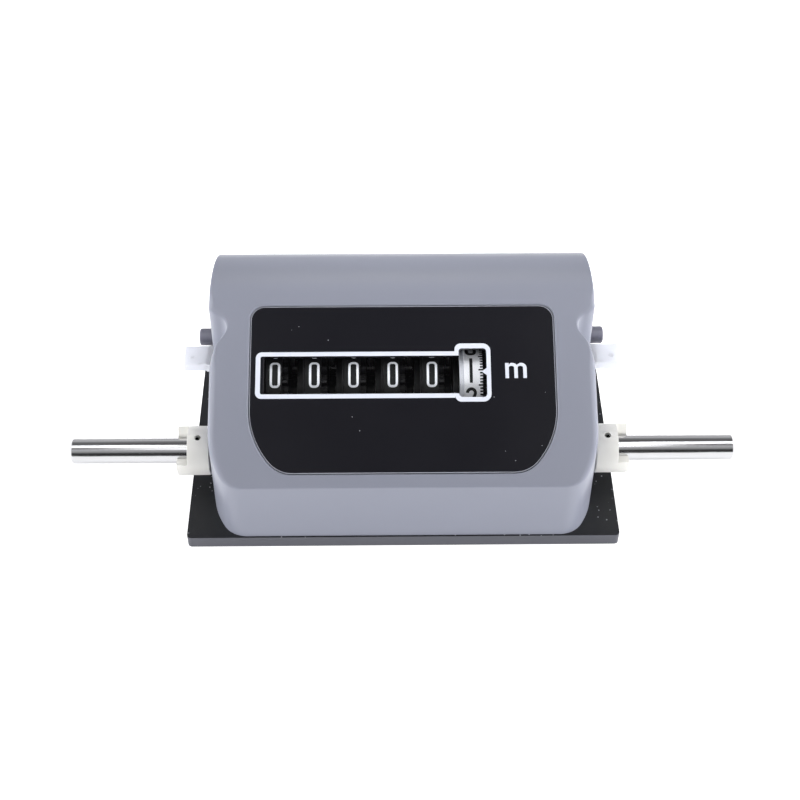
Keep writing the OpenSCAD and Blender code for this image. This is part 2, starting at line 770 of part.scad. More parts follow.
// Black number wheel k, counted from the right
module number_wheel(k) {
    x = wheel_x(k);
    lowest = k == wheels ? rim_left - shoulder_w : wheel_left;
    color([0.12, 0.12, 0.13]) difference() {
        union() {
            disc(x + lowest, x + hub_right, wheel_axis, hub_r);
            if (k < wheels) transfer_disc(x + wheel_left, -pinion_deg - digit_deg / 2);
            disc(x + rim_left - shoulder_w, x + rim_left, wheel_axis, wheel_r - shoulder_step);
            disc(x + rim_left, x + rim_right, wheel_axis, wheel_r);
            from_to(x + rim_right, x + rim_right + ring_w) translate(wheel_axis)
                rotate(-pinion_deg - 180 / ring_teeth)
                    polygon(gear_points(ring_teeth, ring_module));
            heart(x + heart_left, 90);
        }
        wheel_bore(x);
        ring_recess(x + rim_left + web_t, x + rim_right + ring_w, 8.8);
    }
}

// Hollow between the hub and the rim, open to the right
module ring_recess(x0, x1, r) {
    from_to(x0, x1) translate(wheel_axis) difference() {
        circle(r);
        circle(hub_r);
    }
}

module tenths_wheel() {
    x = tenths_x;
    gear_x = x + tenths_right;
    color([0.92, 0.92, 0.92]) difference() {
        union() {
            disc(x + wheel_left, x + tenths_hub_right, wheel_axis, hub_r);
            transfer_disc(x + wheel_left, -pinion_deg - 1.5 * digit_deg);
            disc(x + wheel_left + transfer_w, x + tenths_left, wheel_axis, wheel_r - shoulder_step);
            disc(x + tenths_left, gear_x, wheel_axis, wheel_r);
            from_to(gear_x, gear_x + tenths_gear_w) translate(wheel_axis)
                rotate(180 + drive_deg - 180 / tenths_teeth)
                    polygon(gear_points(tenths_teeth, drive_module));
            heart(x + tenths_heart_left, 90 - digit_deg);
        }
        wheel_bore(x);
        ring_recess(x + tenths_left + web_t, gear_x + tenths_gear_w, 8.8);
    }
}

module number_wheel_1() { number_wheel(1); }
module number_wheel_2() { number_wheel(2); }
module number_wheel_3() { number_wheel(3); }
module number_wheel_4() { number_wheel(4); }
module number_wheel_5() { number_wheel(5); }

// Pinion between number wheel k and the wheel on its right
module transfer_pinion(k) {
    x = wheel_x(k);
    color([0.88, 0.86, 0.8]) from_to(x + pinion_left, x + pinion_right) translate(pinion_axis)
        difference() {
            rotate(180 - pinion_deg) polygon(gear_points(pinion_teeth, ring_module));
            circle(pinion_shaft_r + run_gap);
        }
}

module transfer_pinion_1() { transfer_pinion(1); }
module transfer_pinion_2() { transfer_pinion(2); }
module transfer_pinion_3() { transfer_pinion(3); }
module transfer_pinion_4() { transfer_pinion(4); }
module transfer_pinion_5() { transfer_pinion(5); }

// Comb that turns on the reset rod: a bar with a hammer for each wheel and an arm at each end
module reset_yoke() {
    bar_y = reset_axis[0] + 5.6;
    bar_z = reset_axis[1];
    color([0.62, 0.63, 0.66]) difference() {
        union() {
            from_to(-arm_x - yoke_t, arm_x + yoke_t)
                translate([bar_y, bar_z - 3]) square([1.6, 6]);
            for (k = [1:wheels]) hammer(wheel_x(k) + heart_left + (heart_t - yoke_t) / 2, bar_y, bar_z);
            hammer(tenths_x + tenths_heart_left + (heart_t - yoke_t) / 2, bar_y, bar_z);
            for (side = [0, 1]) mirror([side, 0, 0]) yoke_arm(bar_y, bar_z);
        }
        disc(-side_x, side_x, reset_axis, rod_r + run_gap);
    }
}

// A hammer plate, at rest: its tip is drawn as it presses and then turned back
module hammer(x0, bar_y, bar_z) {
    low = wheel_axis[1] + hammer_rest;
    tip = [for (p = [[wheel_axis[0] + 2.2, low], [wheel_axis[0] - 2, low],
            [wheel_axis[0] - 2, low + 2.6], [wheel_axis[0] + 3, low + 3.4]])
        turned(p, reset_axis, -travel_deg)];
    from_to(x0, x0 + yoke_t) {
        polygon([reset_axis + [0, -rod_r - 1.3], tip[0], tip[1], tip[2], tip[3],
            reset_axis + [0, rod_r + 1.6], [bar_y + 0.8, bar_z + 2], [bar_y + 0.8, bar_z - 2]]);
        translate(reset_axis) circle(rod_r + 1.5);
    }
}

// End arm outside the frame, with the tab that carries a paddle
module yoke_arm(bar_y, bar_z) {
    tab_y = spring_y - 2;
    tab_z = paddle_bottom + paddle_t / 2 - 0.5;
    from_to(arm_x, arm_x + yoke_t) {
        polygon([[tab_y, tab_z - 0.6], [tab_y, tab_z + 1.6], reset_axis + [0, rod_r + 1.6],
            [bar_y + 0.8, bar_z + 3], [bar_y + 0.8, bar_z - 3], reset_axis - [0, rod_r + 1.6]]);
        translate(reset_axis) circle(rod_r + 1.6);
    }
    from_to(arm_x, inner_x - 0.6) translate([tab_y, tab_z]) square([4, 1]);
}

// Paddle pushed over the yoke's tab: a blade with a thicker root at the hood
module paddle() {
    front = reset_axis[0] - paddle_reach;
    color([0.9, 0.9, 0.95]) difference() {
        union() {
            translate([0, 0, paddle_bottom]) linear_extrude(paddle_t)
                rounded_rect(arm_x + yoke_t + 0.3, front, side_x + paddle_out, front + paddle_d,
                    paddle_r);
            from_to(side_x + 0.4, side_x + 2.4)
                translate([front - 0.4, paddle_bottom - 0.3]) square([paddle_d + 0.4, paddle_t]);
        }
        from_to(arm_x, inner_x - 0.3)
            translate([spring_y - 2 - fit_gap, paddle_bottom + paddle_t / 2 - 0.5 - fit_gap])
                square([4 + 2 * fit_gap, 1 + 2 * fit_gap]);
    }
}

module right_paddle() { paddle(); }
module left_paddle() { mirror([1, 0, 0]) paddle(); }

base_plate();
housing();
face_panel();
window_lens();
left_frame();
right_frame();
tie_rods();
wheel_shaft();
wheel_spacers();
pinion_shaft();
left_bush();
right_bush();
frame_screws();
frame_nuts();
housing_screws();
reset_rod();
left_rod_cap();
right_rod_cap();
reset_spring();
drive_shaft();
drive_gear();
left_collar();
right_collar();
collar_pins();
tenths_wheel();
number_wheel_1();
number_wheel_2();
number_wheel_3();
number_wheel_4();
number_wheel_5();
transfer_pinion_1();
transfer_pinion_2();
transfer_pinion_3();
transfer_pinion_4();
transfer_pinion_5();
reset_yoke();
left_paddle();
right_paddle();
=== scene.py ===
"""Looks of the mechanical counter: smooth hood, panel and print, number wheels, shaft, collars and
paddles round the solid part. Sizes are in millimetres in the part's frame until they reach Blender."""
import math

import bmesh
import bpy
import numpy as np
from mathutils import Matrix, Vector


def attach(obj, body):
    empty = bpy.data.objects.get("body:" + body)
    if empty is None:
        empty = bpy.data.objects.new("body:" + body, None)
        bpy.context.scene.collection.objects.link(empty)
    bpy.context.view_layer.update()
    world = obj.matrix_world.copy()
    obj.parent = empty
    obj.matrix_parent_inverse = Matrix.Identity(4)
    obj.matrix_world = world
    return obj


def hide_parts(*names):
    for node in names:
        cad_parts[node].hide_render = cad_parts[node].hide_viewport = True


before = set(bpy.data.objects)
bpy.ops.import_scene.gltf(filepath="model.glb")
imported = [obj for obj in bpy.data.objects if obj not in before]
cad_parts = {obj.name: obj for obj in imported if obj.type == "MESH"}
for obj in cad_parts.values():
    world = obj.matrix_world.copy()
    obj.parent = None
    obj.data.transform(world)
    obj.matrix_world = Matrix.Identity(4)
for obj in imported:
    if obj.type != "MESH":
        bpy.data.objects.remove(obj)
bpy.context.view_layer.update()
MM = 0.001

# Base plate's thickness, then the hood: half width, ends, wall, slope and the crease at its foot
PLATE_T = 3.7
SIDE, FRONT, BACK, WALL = 51.0, -36.0, 36.0, 2.2
SLOPE = math.radians(26)
TAN, COS, SIN = math.tan(SLOPE), math.cos(SLOPE), math.sin(SLOPE)
CREASE = 23.2
# Ridge's round, the front corner's two arcs, the back corner and the finger scoop
RIDGE_R, RIDGE_Y = 16.0, 20.0
RIDGE_Z = CREASE + (RIDGE_Y - FRONT) * TAN - RIDGE_R / COS
CORNER_W, CORNER_L, TIP_R, BACK_R = 9.4, 15.3, 7.0, 6.0
SCOOP_Y, SCOOP_D, SCOOP_R, RUN_F, RUN_B, SCOOP_Z = 3.963, 4.3, 3.2, 10.4, 6.2, 21.79
# The side's flare behind the scoop, its start and run, and the draw-in towards the back
FLARE, LIP_FROM, LIP_RUN, DRAW_IN = 0.76, 5.0, 4.5, 0.071
# Radius of the top edge: front, side, scoop, scoop's end, lip behind it and back
EDGE_FRONT, EDGE_SIDE, EDGE_SCOOP, EDGE_OUT, EDGE_LIP, EDGE_BACK = 0.45, 2.0, 0.4, 1.4, 1.7, 0.5
# Openings in the hood: radii of the shaft's slot and of the reset rod's hole
SLOT_R, ROD_HOLE_R = 4.1, 2.95
# Axes of the wheels, the drive shaft and the reset lever, in the side view
WHEEL = (-0.937, 23.167)
DRIVE = (-15.852, 15.436)
RESET = (15.963, 27.167)
# Wheels: rim's radius, the tenths wheel's place, pitch and count
RIM_R = 13.25
TENTHS_X, PITCH, WHEELS = 18.12, 10.37, 5
# Rim and the shoulder beside it, from and to about a wheel's middle, and the shoulder's drop
RIM_SPAN, SHOULDER_SPAN, SHOULDER_DROP = (-2.55, 1.77), (-3.07, -2.55), 0.5
TENTHS_RIM, TENTHS_SHOULDER, TENTHS_DROP = (-1.92, 3.12), (-3.07, -1.92), 0.25
# Degrees: the digit at the window, from digit to digit and from tick to tick
FACE_DEG, TENTHS_FACE_DEG = 116.0, 111.4
DIGIT_DEG, TICK_DEG = 36, 3.6
# Digits: half width, half height, the zero's half height and how much taller the tenths' 1 is
DIGIT_A, DIGIT_B, ZERO_B, ONE_REACH = 1.05, 3.15, 3.28, 0.42
# Widths of the digits' and ticks' lines, starts of a long and a short tick, and their end
STROKE, TENTHS_STROKE, TICK_STROKE = 0.62, 0.82, 0.44
LONG_TICK, SHORT_TICK, TICK_END = 1.95, 2.35, 3.1
# Collars: start, length, dogs' length, radius, bore and edge, then the free end
COLLAR_X, COLLAR_L, DOG_L, COLLAR_R, COLLAR_BORE, COLLAR_EDGE = 51.5, 5.8, 3.05, 6.6, 3.53, 0.35
FREE_X = COLLAR_X + COLLAR_L + DOG_L
# Cross pin's place, hole and lean from upright, and the dogs' direction and span in degrees
PIN_X, PIN_HOLE_R, PIN_LEAN = 54.55, 0.84, math.radians(10.5)
DOG_AXIS, DOG_SPAN = 20.5, 64.0
# Shaft: half length, radius and chamfer. Rod caps: from, to, radius, bore and the bore's bottom
SHAFT_HALF, SHAFT_R, SHAFT_CHAMFER = 89.05, 3.5, 0.6
CAP_FROM, CAP_TO, CAP_R, CAP_BORE, CAP_BOTTOM = 46.9, 56.0, 2.4, 1.53, 54.45
# Point of a closed profile that lies on its axis
ON_AXIS = 0.0001
# Paddles: from, to, thickness, depth, front and top, then the flange, the rib and the star
PADDLE_FROM, PADDLE_TO, PADDLE_T, PADDLE_D = 44.4, 59.7, 2.5, 7.1
PADDLE_FRONT, PADDLE_TOP = RESET[0] - 11.9, RESET[1] + 1.4
FLANGE, RIB = (51.4, 53.4), (53.9, 55.8)
STAR_X, STAR_Y, STAR_OUT, STAR_IN = 57.3, 2.4, 0.8, 0.38
# Face panel: half width, lower edge and length up the slope, thickness and depth below the skin
PANEL_HALF, PANEL_LOW, PANEL_L, PANEL_T, SINK = 40.2, 3.95, 46.0, 1.0, 0.3
# Its lower corners' width, length and tip radius, and its upper corners' radius
PANEL_SOFT_W, PANEL_SOFT_L, PANEL_TIP_R, PANEL_TOP_R = 11.5, 17.5, 8.0, 3.8
# Window: middle and half height along the slope, of the wide part and of the tenths' part
WINDOW_S, WINDOW_HALF = 30.7, 5.125
TENTHS_S, TENTHS_HALF = 31.05, 6.75
# Its reach past the last wheel's middle, to the left and right of the tenths wheel's, and corners
WINDOW_REACH, TENTHS_LEFT, TENTHS_RIGHT, WINDOW_R = 2.8, 3.2, 3.9, 0.8
# Ink frame, outside and inside: left end, step, right end, the wide and the tall part's span up
# the slope, and the radii at the left end, the step and the tall part
INK_OUTER = (-38.7, TENTHS_X - 4.4, 23.22, (24.25, 37.12), (23.15, 39.3), (1.6, 1.7, 2.1))
INK_INNER = (-37.45, TENTHS_X - 3.3, 22.1, (25.47, 35.95), (24.42, 37.92), (0.5, 0.8, 0.9))
# Ink's height, the pointer's tip, back, middle and half height, and the letter's left side, foot,
# width, height and stem
INK_T = 0.02
POINTER_TIP, POINTER_BACK, POINTER_S, POINTER_HALF = 20.8, 22.2, 31.45, 1.1
LETTER = (27.0, 29.55, 5.65, 4.22, 0.95)
# Screws under the plate, the hood's and the side frames', and their recess drawn as painted shade:
# half sizes, turn, span
BOSS_X, BOSS_Y = SIDE - WALL - 3.1, (FRONT + 10.5, BACK - 7)
FRAME_X, FRAME_Y = 43.3, (WHEEL[0] - 14.4, WHEEL[0] + 22)
CROSS_L, CROSS_W, CROSS_DEG, CROSS_Z = 1.5, 0.26, 20, (0.17, 0.3)


# Small mesh tools
def add(name, verts, faces, mat, body="base", sharp=30, ride=True):
    """A mesh object from points in millimetres, riding on a body."""
    me = bpy.data.meshes.new(name)
    me.from_pydata([(v[0] * MM, v[1] * MM, v[2] * MM) for v in verts], [], faces)
    me.validate()
    bm = bmesh.new()
    bm.from_mesh(me)
    bmesh.ops.remove_doubles(bm, verts=bm.verts, dist=2e-7)
    bmesh.ops.recalc_face_normals(bm, faces=bm.faces)
    bm.to_mesh(me)
    bm.free()
    ob = bpy.data.objects.new(name, me)
    bpy.context.scene.collection.objects.link(ob)
    finish_mesh(ob, mat, sharp)
    if ride:
        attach(ob, body)
    return ob


def finish_mesh(ob, mat, sharp, weighted=False):
    """Material, smooth faces with sharp edges past an angle, and even normals after a cut."""
    me = ob.data
    me.materials.clear()
    if mat is not None:
        me.materials.append(mat)
    me.polygons.foreach_set("use_smooth", [True] * len(me.polygons))
    me.set_sharp_from_angle(angle=math.radians(sharp))
    if weighted:
        m = ob.modifiers.new("normals", "WEIGHTED_NORMAL")
        m.keep_sharp = True
        m.weight = 100
        m.mode = "FACE_AREA"


def bake(ob):
    """Replaces an object's mesh by the one its modifiers give."""
    dg = bpy.context.evaluated_depsgraph_get()
    me = bpy.data.meshes.new_from_object(ob.evaluated_get(dg), depsgraph=dg)
    old = ob.data
    ob.modifiers.clear()
    ob.data = me
    bpy.data.meshes.remove(old)


def cut(ob, cutters, mat, sharp, weighted=True):
    """Takes each cutter out of an object and removes it."""
    for c in cutters:
        m = ob.modifiers.new("cut", "BOOLEAN")
        m.operation, m.solver, m.object = "DIFFERENCE", "EXACT", c
        bake(ob)
        bpy.data.objects.remove(c)
    finish_mesh(ob, mat, sharp, weighted)


def rings(loops, cap_start=True, cap_end=True):
    """Vertices and faces of a skin over loops with equal point counts."""
    n = len(loops[0])
    verts = [p for loop in loops for p in loop]
    faces = []
    for j in range(len(loops) - 1):
        for i in range(n):
            a, b = j * n + i, j * n + (i + 1) % n
            faces.append((a, b, b + n, a + n))
    if cap_start:
        faces.append(tuple(range(n - 1, -1, -1)))
    if cap_end:
        faces.append(tuple((len(loops) - 1) * n + i for i in range(n)))
    return verts, faces


def lathe(name, profile, axis, mat, body, seg=128, sharp=30, bore=False, mirror=False):
    """Turns (x, r) points about an axis along X. With a bore the profile is a closed loop."""
    sign = -1 if mirror else 1
    loops = []
    for x, r in profile:
        loops.append([(sign * x, axis[0] + r * math.cos(2 * math.pi * i / seg),
                       axis[1] + r * math.sin(2 * math.pi * i / seg)) for i in range(seg)])
    if bore:
        loops.append(loops[0])
    v, f = rings(loops, cap_start=not bore, cap_end=not bore)
    return add(name, v, f, mat, body, sharp)


def arc(c, r, a0, a1, n):
    """Points of an arc in degrees, ends included."""
    return [(c[0] + r * math.cos(math.radians(a0 + (a1 - a0) * i / n)),
             c[1] + r * math.sin(math.radians(a0 + (a1 - a0) * i / n))) for i in range(n + 1)]


def rounded(points, radii, n=8):
    """A closed outline with each corner rounded by its own radius."""
    out = []
    count = len(points)
    for i in range(count):
        p = np.array(points[i], float)
        a = np.array(points[i - 1], float) - p
        b = np.array(points[(i + 1) % count], float) - p
        r = radii[i] if not isinstance(radii, (int, float)) else radii
        if r <= 0:
            out.append(tuple(p))
            continue
        a /= np.linalg.norm(a)
        b /= np.linalg.norm(b)
        half = math.acos(max(-1, min(1, float(a @ b)))) / 2
        t = r / math.tan(half)
        c = p + (a + b) / np.linalg.norm(a + b) * r / math.sin(half)
        s, e = p + a * t - c, p + b * t - c
        a0 = math.atan2(s[1], s[0])
        a1 = math.atan2(e[1], e[0])
        d = (a1 - a0 + math.pi) % (2 * math.pi) - math.pi
        out += [tuple(c + r * np.array((math.cos(a0 + d * k / n), math.sin(a0 + d * k / n))))
                for k in range(n + 1)]
    return out


def on_slope(x, s, h):
    """A point of the sloped face: x across, s up the slope, h out of the face."""
    return (x, FRONT + s * COS - h * SIN, CREASE + s * SIN + h * COS)


def filled(outer, holes, place):
    """Flat triangulated face between an outline and its holes, as vertices and faces."""
    bm = bmesh.new()
    edges = []
    for loop in [outer] + holes:
        vs = [bm.verts.new((p[0], p[1], 0)) for p in loop]
        edges += [bm.edges.new((vs[i], vs[(i + 1) % len(vs)])) for i in range(len(vs))]
    bmesh.ops.triangle_fill(bm, use_beauty=True, use_dissolve=False, edges=edges)
    bm.verts.index_update()
    verts = [place(v.co.x, v.co.y) for v in bm.verts]
    faces = [tuple(v.index for v in f.verts) for f in bm.faces]
    bm.free()
    return verts, faces


def slab(levels):
    """A plate on the slope. levels is a list of (height, loops) from the lowest to the highest,
    where loops gives the outline and holes at that height; both ends are filled flat."""
    verts, faces = [], []
    for end in (0, -1):
        h, loops = levels[end]
        v, f = filled(loops[0], loops[1:], lambda x, s, h=h: on_slope(x, s, h))
        base = len(verts)
        verts += v
        faces += [tuple(i + base for i in t) for t in f]
    for k in range(len(levels[0][1])):
        v, f = rings([[on_slope(p[0], p[1], h) for p in loops[k]] for h, loops in levels],
                     cap_start=False, cap_end=False)
        base = len(verts)
        verts += v
        faces += [tuple(i + base for i in t) for t in f]
    return verts, faces


# Materials
def math_node(nt, operation, *values):
    """Output of a math node over numbers or sockets."""
    node = nt.nodes.new("ShaderNodeMath")
    node.operation = operation
    for i, value in enumerate(values):
        if isinstance(value, (int, float)):
            node.inputs[i].default_value = value
        else:
            nt.links.new(value, node.inputs[i])
    return node.outputs[0]


def mix_colour(nt, factor, *colours):
    """Output of a mix between two colours or colour sockets."""
    mix = nt.nodes.new("ShaderNodeMix")
    mix.data_type = "RGBA"
    nt.links.new(factor, mix.inputs[0])
    for i, colour in zip((6, 7), colours):
        if isinstance(colour, tuple):
            mix.inputs[i].default_value = (*colour, 1)
        else:
            nt.links.new(colour, mix.inputs[i])
    return mix.outputs[2]


def material(name, colour, rough, metal=0.0, spec=0.5, coat=0.0, grain=0.0, grain_scale=900.0,
             tint=0.0, tint_scale=60.0, rough_var=0.0, soft=0.0, sub=0.0, alpha=1.0, stretch=None):
    """Principled material with fine bump, faint colour variation and uneven gloss. soft is the
    radius in millimetres by which a Bevel node rounds a solid's edges."""
    m = bpy.data.materials.new(name)
    m.use_nodes = True
    nt = m.node_tree
    nt.nodes.clear()
    out = nt.nodes.new("ShaderNodeOutputMaterial")
    b = nt.nodes.new("ShaderNodeBsdfPrincipled")
    nt.links.new(b.outputs[0], out.inputs[0])
    b.inputs["Metallic"].default_value = metal
    b.inputs["Specular IOR Level"].default_value = spec
    b.inputs["IOR"].default_value = 1.45
    b.inputs["Coat Weight"].default_value = coat
    b.inputs["Coat Roughness"].default_value = 0.12
    b.inputs["Alpha"].default_value = alpha
    if sub:
        b.inputs["Subsurface Weight"].default_value = sub
        b.inputs["Subsurface Radius"].default_value = (1.0, 1.0, 1.0)
        b.inputs["Subsurface Scale"].default_value = 0.0012
    tc = nt.nodes.new("ShaderNodeTexCoord")
    vec = tc.outputs["Object"]
    if stretch:
        mp = nt.nodes.new("ShaderNodeMapping")
        mp.inputs["Scale"].default_value = stretch
        nt.links.new(vec, mp.inputs["Vector"])
        vec = mp.outputs[0]
    col = nt.nodes.new("ShaderNodeTexNoise")
    col.inputs["Scale"].default_value = tint_scale
    col.inputs["Detail"].default_value = 4
    nt.links.new(vec, col.inputs["Vector"])
    darker = tuple(max(0, c * (1 - tint)) for c in colour)
    lighter = tuple(min(1, c * (1 + tint)) for c in colour)
    nt.links.new(mix_colour(nt, col.outputs[0], darker, lighter), b.inputs["Base Color"])
    rr = nt.nodes.new("ShaderNodeMapRange")
    rr.inputs["To Min"].default_value = max(0.02, rough - rough_var)
    rr.inputs["To Max"].default_value = min(1, rough + rough_var)
    nt.links.new(col.outputs[0], rr.inputs["Value"])
    nt.links.new(rr.outputs[0], b.inputs["Roughness"])
    normal = None
    if soft:
        bev = nt.nodes.new("ShaderNodeBevel")
        bev.samples = 6
        bev.inputs["Radius"].default_value = soft * MM
        normal = bev.outputs[0]
    if grain:
        g = nt.nodes.new("ShaderNodeTexNoise")
        g.inputs["Scale"].default_value = grain_scale
        g.inputs["Detail"].default_value = 3
        nt.links.new(vec, g.inputs["Vector"])
        bump = nt.nodes.new("ShaderNodeBump")
        bump.inputs["Strength"].default_value = grain
        bump.inputs["Distance"].default_value = 0.00008
        nt.links.new(g.outputs[0], bump.inputs["Height"])
        if normal is not None:
            nt.links.new(normal, bump.inputs["Normal"])
        normal = bump.outputs[0]
    if normal is not None:
        nt.links.new(normal, b.inputs["Normal"])
    return m


def srgb(r, g, b):
    """Linear colour from display values of 0 to 255."""
    return tuple(((c / 255 + 0.055) / 1.055) ** 2.4 if c > 10 else c / 255 / 12.92 for c in (r, g, b))


hood_mat = material("hood_grey", srgb(129, 132, 145), 0.3, coat=0.15, grain=0.10, grain_scale=1400,
                    tint=0.02, rough_var=0.04)
panel_mat = material("panel_black", srgb(24, 24, 29), 0.2, spec=0.35, grain=0.02, tint=0.05,
                     rough_var=0.04)
# Light grey for the ring round the face panel: a painted highlight where its bevel catches the light.
panel_edge_painted_highlight_mat = material("panel_rim_painted_highlight", srgb(168, 170, 182), 0.3, tint=0.04, grain=0.05)
# White ink in two copies: the panel's is darker, a painted shade against the stronger light on the
# panel, and the digits' is lighter, painted light against the shade inside the window.
panel_ink_painted_shade_mat = material("print_white_painted_shade", srgb(212, 216, 228), 0.5, tint=0.015, tint_scale=300)
digit_ink_painted_light_mat = material("digit_white_painted_light", srgb(244, 247, 255), 0.5, tint=0.015, tint_scale=300)
black_print = material("print_black", srgb(20, 20, 24), 0.5, tint=0.05, tint_scale=300)
wheel_black = material("wheel_black", srgb(17, 17, 19), 0.42, tint=0.1, grain=0.15, rough_var=0.05)
# A lighter copy of the wheels' black for gear teeth, spacers, pinions and shoulders: the lift in
# colour is a painted glint where teeth and edges catch light.
wheel_side_painted_glint = material("wheel_side_painted_glint", srgb(26, 26, 29), 0.4, tint=0.1, grain=0.15, rough_var=0.05)
wheel_white = material("wheel_white", srgb(244, 246, 252), 0.4, tint=0.01, grain=0.1)
# Greyer copy of the tenths wheel's white for its shoulder: painted shade of the step beside the rim.
wheel_white_painted_shade = material("wheel_white_painted_shade", srgb(214, 217, 226), 0.4, tint=0.03, grain=0.1)
collar_mat = material("collar_nylon", srgb(221, 220, 216), 0.5, sub=0.25, tint=0.025, grain=0.2,
                      grain_scale=700, rough_var=0.06)
paddle_mat = material("paddle_nylon", srgb(234, 236, 244), 0.35, sub=0.4, tint=0.02, grain=0.15,
                      grain_scale=700)
cap_mat = material("rod_cap_grey", srgb(110, 110, 122), 0.32, tint=0.06, grain=0.2, rough_var=0.06)
shaft_mat = material("ground_steel", (0.74, 0.74, 0.76), 0.16, metal=1.0, grain=0.12,
                     grain_scale=500, tint=0.05, rough_var=0.05, stretch=(0.15, 6, 6))
steel_mat = material("plated_steel", (0.58, 0.59, 0.6), 0.34, metal=1.0, grain=0.2, tint=0.06,
                     rough_var=0.08, soft=0.15)
turned_mat = material("turned_steel", (0.62, 0.62, 0.64), 0.28, metal=1.0, grain=0.2, tint=0.05,
                      rough_var=0.06, stretch=(8, 1, 1))
# Dark steel for the reset spring, and also for the screws' cross recesses, where it is painted shade.
dark_steel = material("dark_steel", (0.03, 0.03, 0.032), 0.5, metal=0.6, grain=0.2, tint=0.1)
pin_mat = material("pin_black", (0.004, 0.004, 0.004), 0.8, spec=0.1, grain=0.2, tint=0.1)
brass_mat = material("bush_brass", (0.6, 0.42, 0.2), 0.32, metal=1.0, grain=0.2, tint=0.06)
nylon_mat = material("gear_nylon", srgb(222, 217, 200), 0.5, tint=0.03, grain=0.2, soft=0.1)
glass_mat = material("window_clear", (0.02, 0.02, 0.022), 0.05, alpha=0.04, tint=0.005,
                     rough_var=0.01)


def parts_of(m):
    """A material's node tree, its base colour input and its texture coordinates."""
    nt = m.node_tree
    shader = next(n for n in nt.nodes if n.type == "BSDF_PRINCIPLED")
    coords = next(n for n in nt.nodes if n.type == "TEX_COORD")
    return nt, shader.inputs["Base Color"], coords


def lay_over(nt, base, factor, colour):
    """Mixes a plain colour by a factor over what a base colour input shows."""
    nt.links.new(mix_colour(nt, factor, base.links[0].from_socket, colour), base)


def dusty(m, scale, size, least):
    """Pale dust specks over a material: places per metre, their size, and the level of a slow
    noise from which they show."""
    nt, base, coords = parts_of(m)
    specks = nt.nodes.new("ShaderNodeTexVoronoi")
    specks.inputs["Scale"].default_value = scale
    nt.links.new(coords.outputs["Object"], specks.inputs["Vector"])
    patches = nt.nodes.new("ShaderNodeTexNoise")
    patches.inputs["Scale"].default_value = 90
    nt.links.new(coords.outputs["Object"], patches.inputs["Vector"])
    near = math_node(nt, "LESS_THAN", specks.outputs["Distance"], size)
    shown = math_node(nt, "GREATER_THAN", patches.outputs[0], least)
    lay_over(nt, base, math_node(nt, "MULTIPLY", near, shown), srgb(150, 152, 158))


def plate_material():
    """Black paint with dust specks, and its upright sides painted lighter: a painted reflection of the
    bright table along the plate's edge.
    """
    m = material("plate_black", srgb(34, 35, 38), 0.45, tint=0.25, tint_scale=220, grain=0.5,
                 grain_scale=650, rough_var=0.12, soft=0.25)
    dusty(m, 700, 0.15, 0.48)
    nt, base, coords = parts_of(m)
    normal = nt.nodes.new("ShaderNodeSeparateXYZ")
    nt.links.new(coords.outputs["Normal"], normal.inputs[0])
    # Painted reflection: faces that stand upright are mixed towards a lighter grey, standing in for
    # the bright table reflected in the plate's edge.
    sides = nt.nodes.new("ShaderNodeMapRange")
    sides.inputs["From Min"].default_value = 0.75
    sides.inputs["From Max"].default_value = 0.35
    nt.links.new(math_node(nt, "ABSOLUTE", normal.outputs[2]), sides.inputs["Value"])
    lay_over(nt, base, sides.outputs[0], srgb(82, 83, 90))
    return m


plate_mat = plate_material()
dusty(panel_mat, 450, 0.06, 0.6)

CAD_MATS = {
    "base_plate": plate_mat, "window_lens": glass_mat, "left_frame": steel_mat,
    "right_frame": steel_mat, "tie_rods": turned_mat, "wheel_shaft": turned_mat,
    "wheel_spacers": wheel_side_painted_glint, "pinion_shaft": turned_mat, "left_bush": brass_mat,
    "right_bush": brass_mat, "frame_screws": turned_mat, "frame_nuts": turned_mat,
    "housing_screws": turned_mat, "reset_rod": turned_mat, "reset_spring": dark_steel,
    "drive_gear": nylon_mat, "collar_pins": pin_mat, "tenths_wheel": wheel_side_painted_glint,
    "reset_yoke": wheel_black,
}
for name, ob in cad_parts.items():
    mat = CAD_MATS.get(name)
    if mat is None:
        mat = wheel_side_painted_glint if name.startswith(("number_wheel", "transfer_pinion")) else hood_mat
    ob.data.materials.clear()
    ob.data.materials.append(mat)


# Hood, panel and print
def soft_side(half_w, y0, soft_w, soft_l, tip_r, steps):
    """Left front corner of an outline in two arcs: points and outward normals, front to side."""
    r1 = (soft_w ** 2 + (soft_l - tip_r) ** 2 - tip_r ** 2) / (2 * (soft_w - tip_r))
    c1 = (-half_w + r1, y0 + soft_l)
    c0 = (-half_w + soft_w, y0 + tip_r)
    join = 180 + math.degrees(math.atan((c1[1] - c0[1]) / (c1[0] - c0[0])))
    out = []
    for c, r, a0, a1, n in ((c0, tip_r, 270, join, steps), (c1, r1, join, 180, steps)):
        for i in range(n + 1):
            a = math.radians(a0 + (a1 - a0) * i / n)
            if out and i == 0:
                continue
            u = (math.cos(a), math.sin(a))
            out.append(((c[0] + r * u[0], c[1] + r * u[1]), u))
    return out


def ease(t):
    """Smooth step from 0 to 1."""
    t = max(0.0, min(1.0, t))
    return t * t * (3 - 2 * t)


def lip(y):
    """How far the side stands out behind the scoop, and how it draws in towards the back."""
    behind = min(y, BACK - BACK_R) - LIP_FROM - LIP_RUN
    return FLARE * ease((y - LIP_FROM) / LIP_RUN) - DRAW_IN * max(0.0, behind)


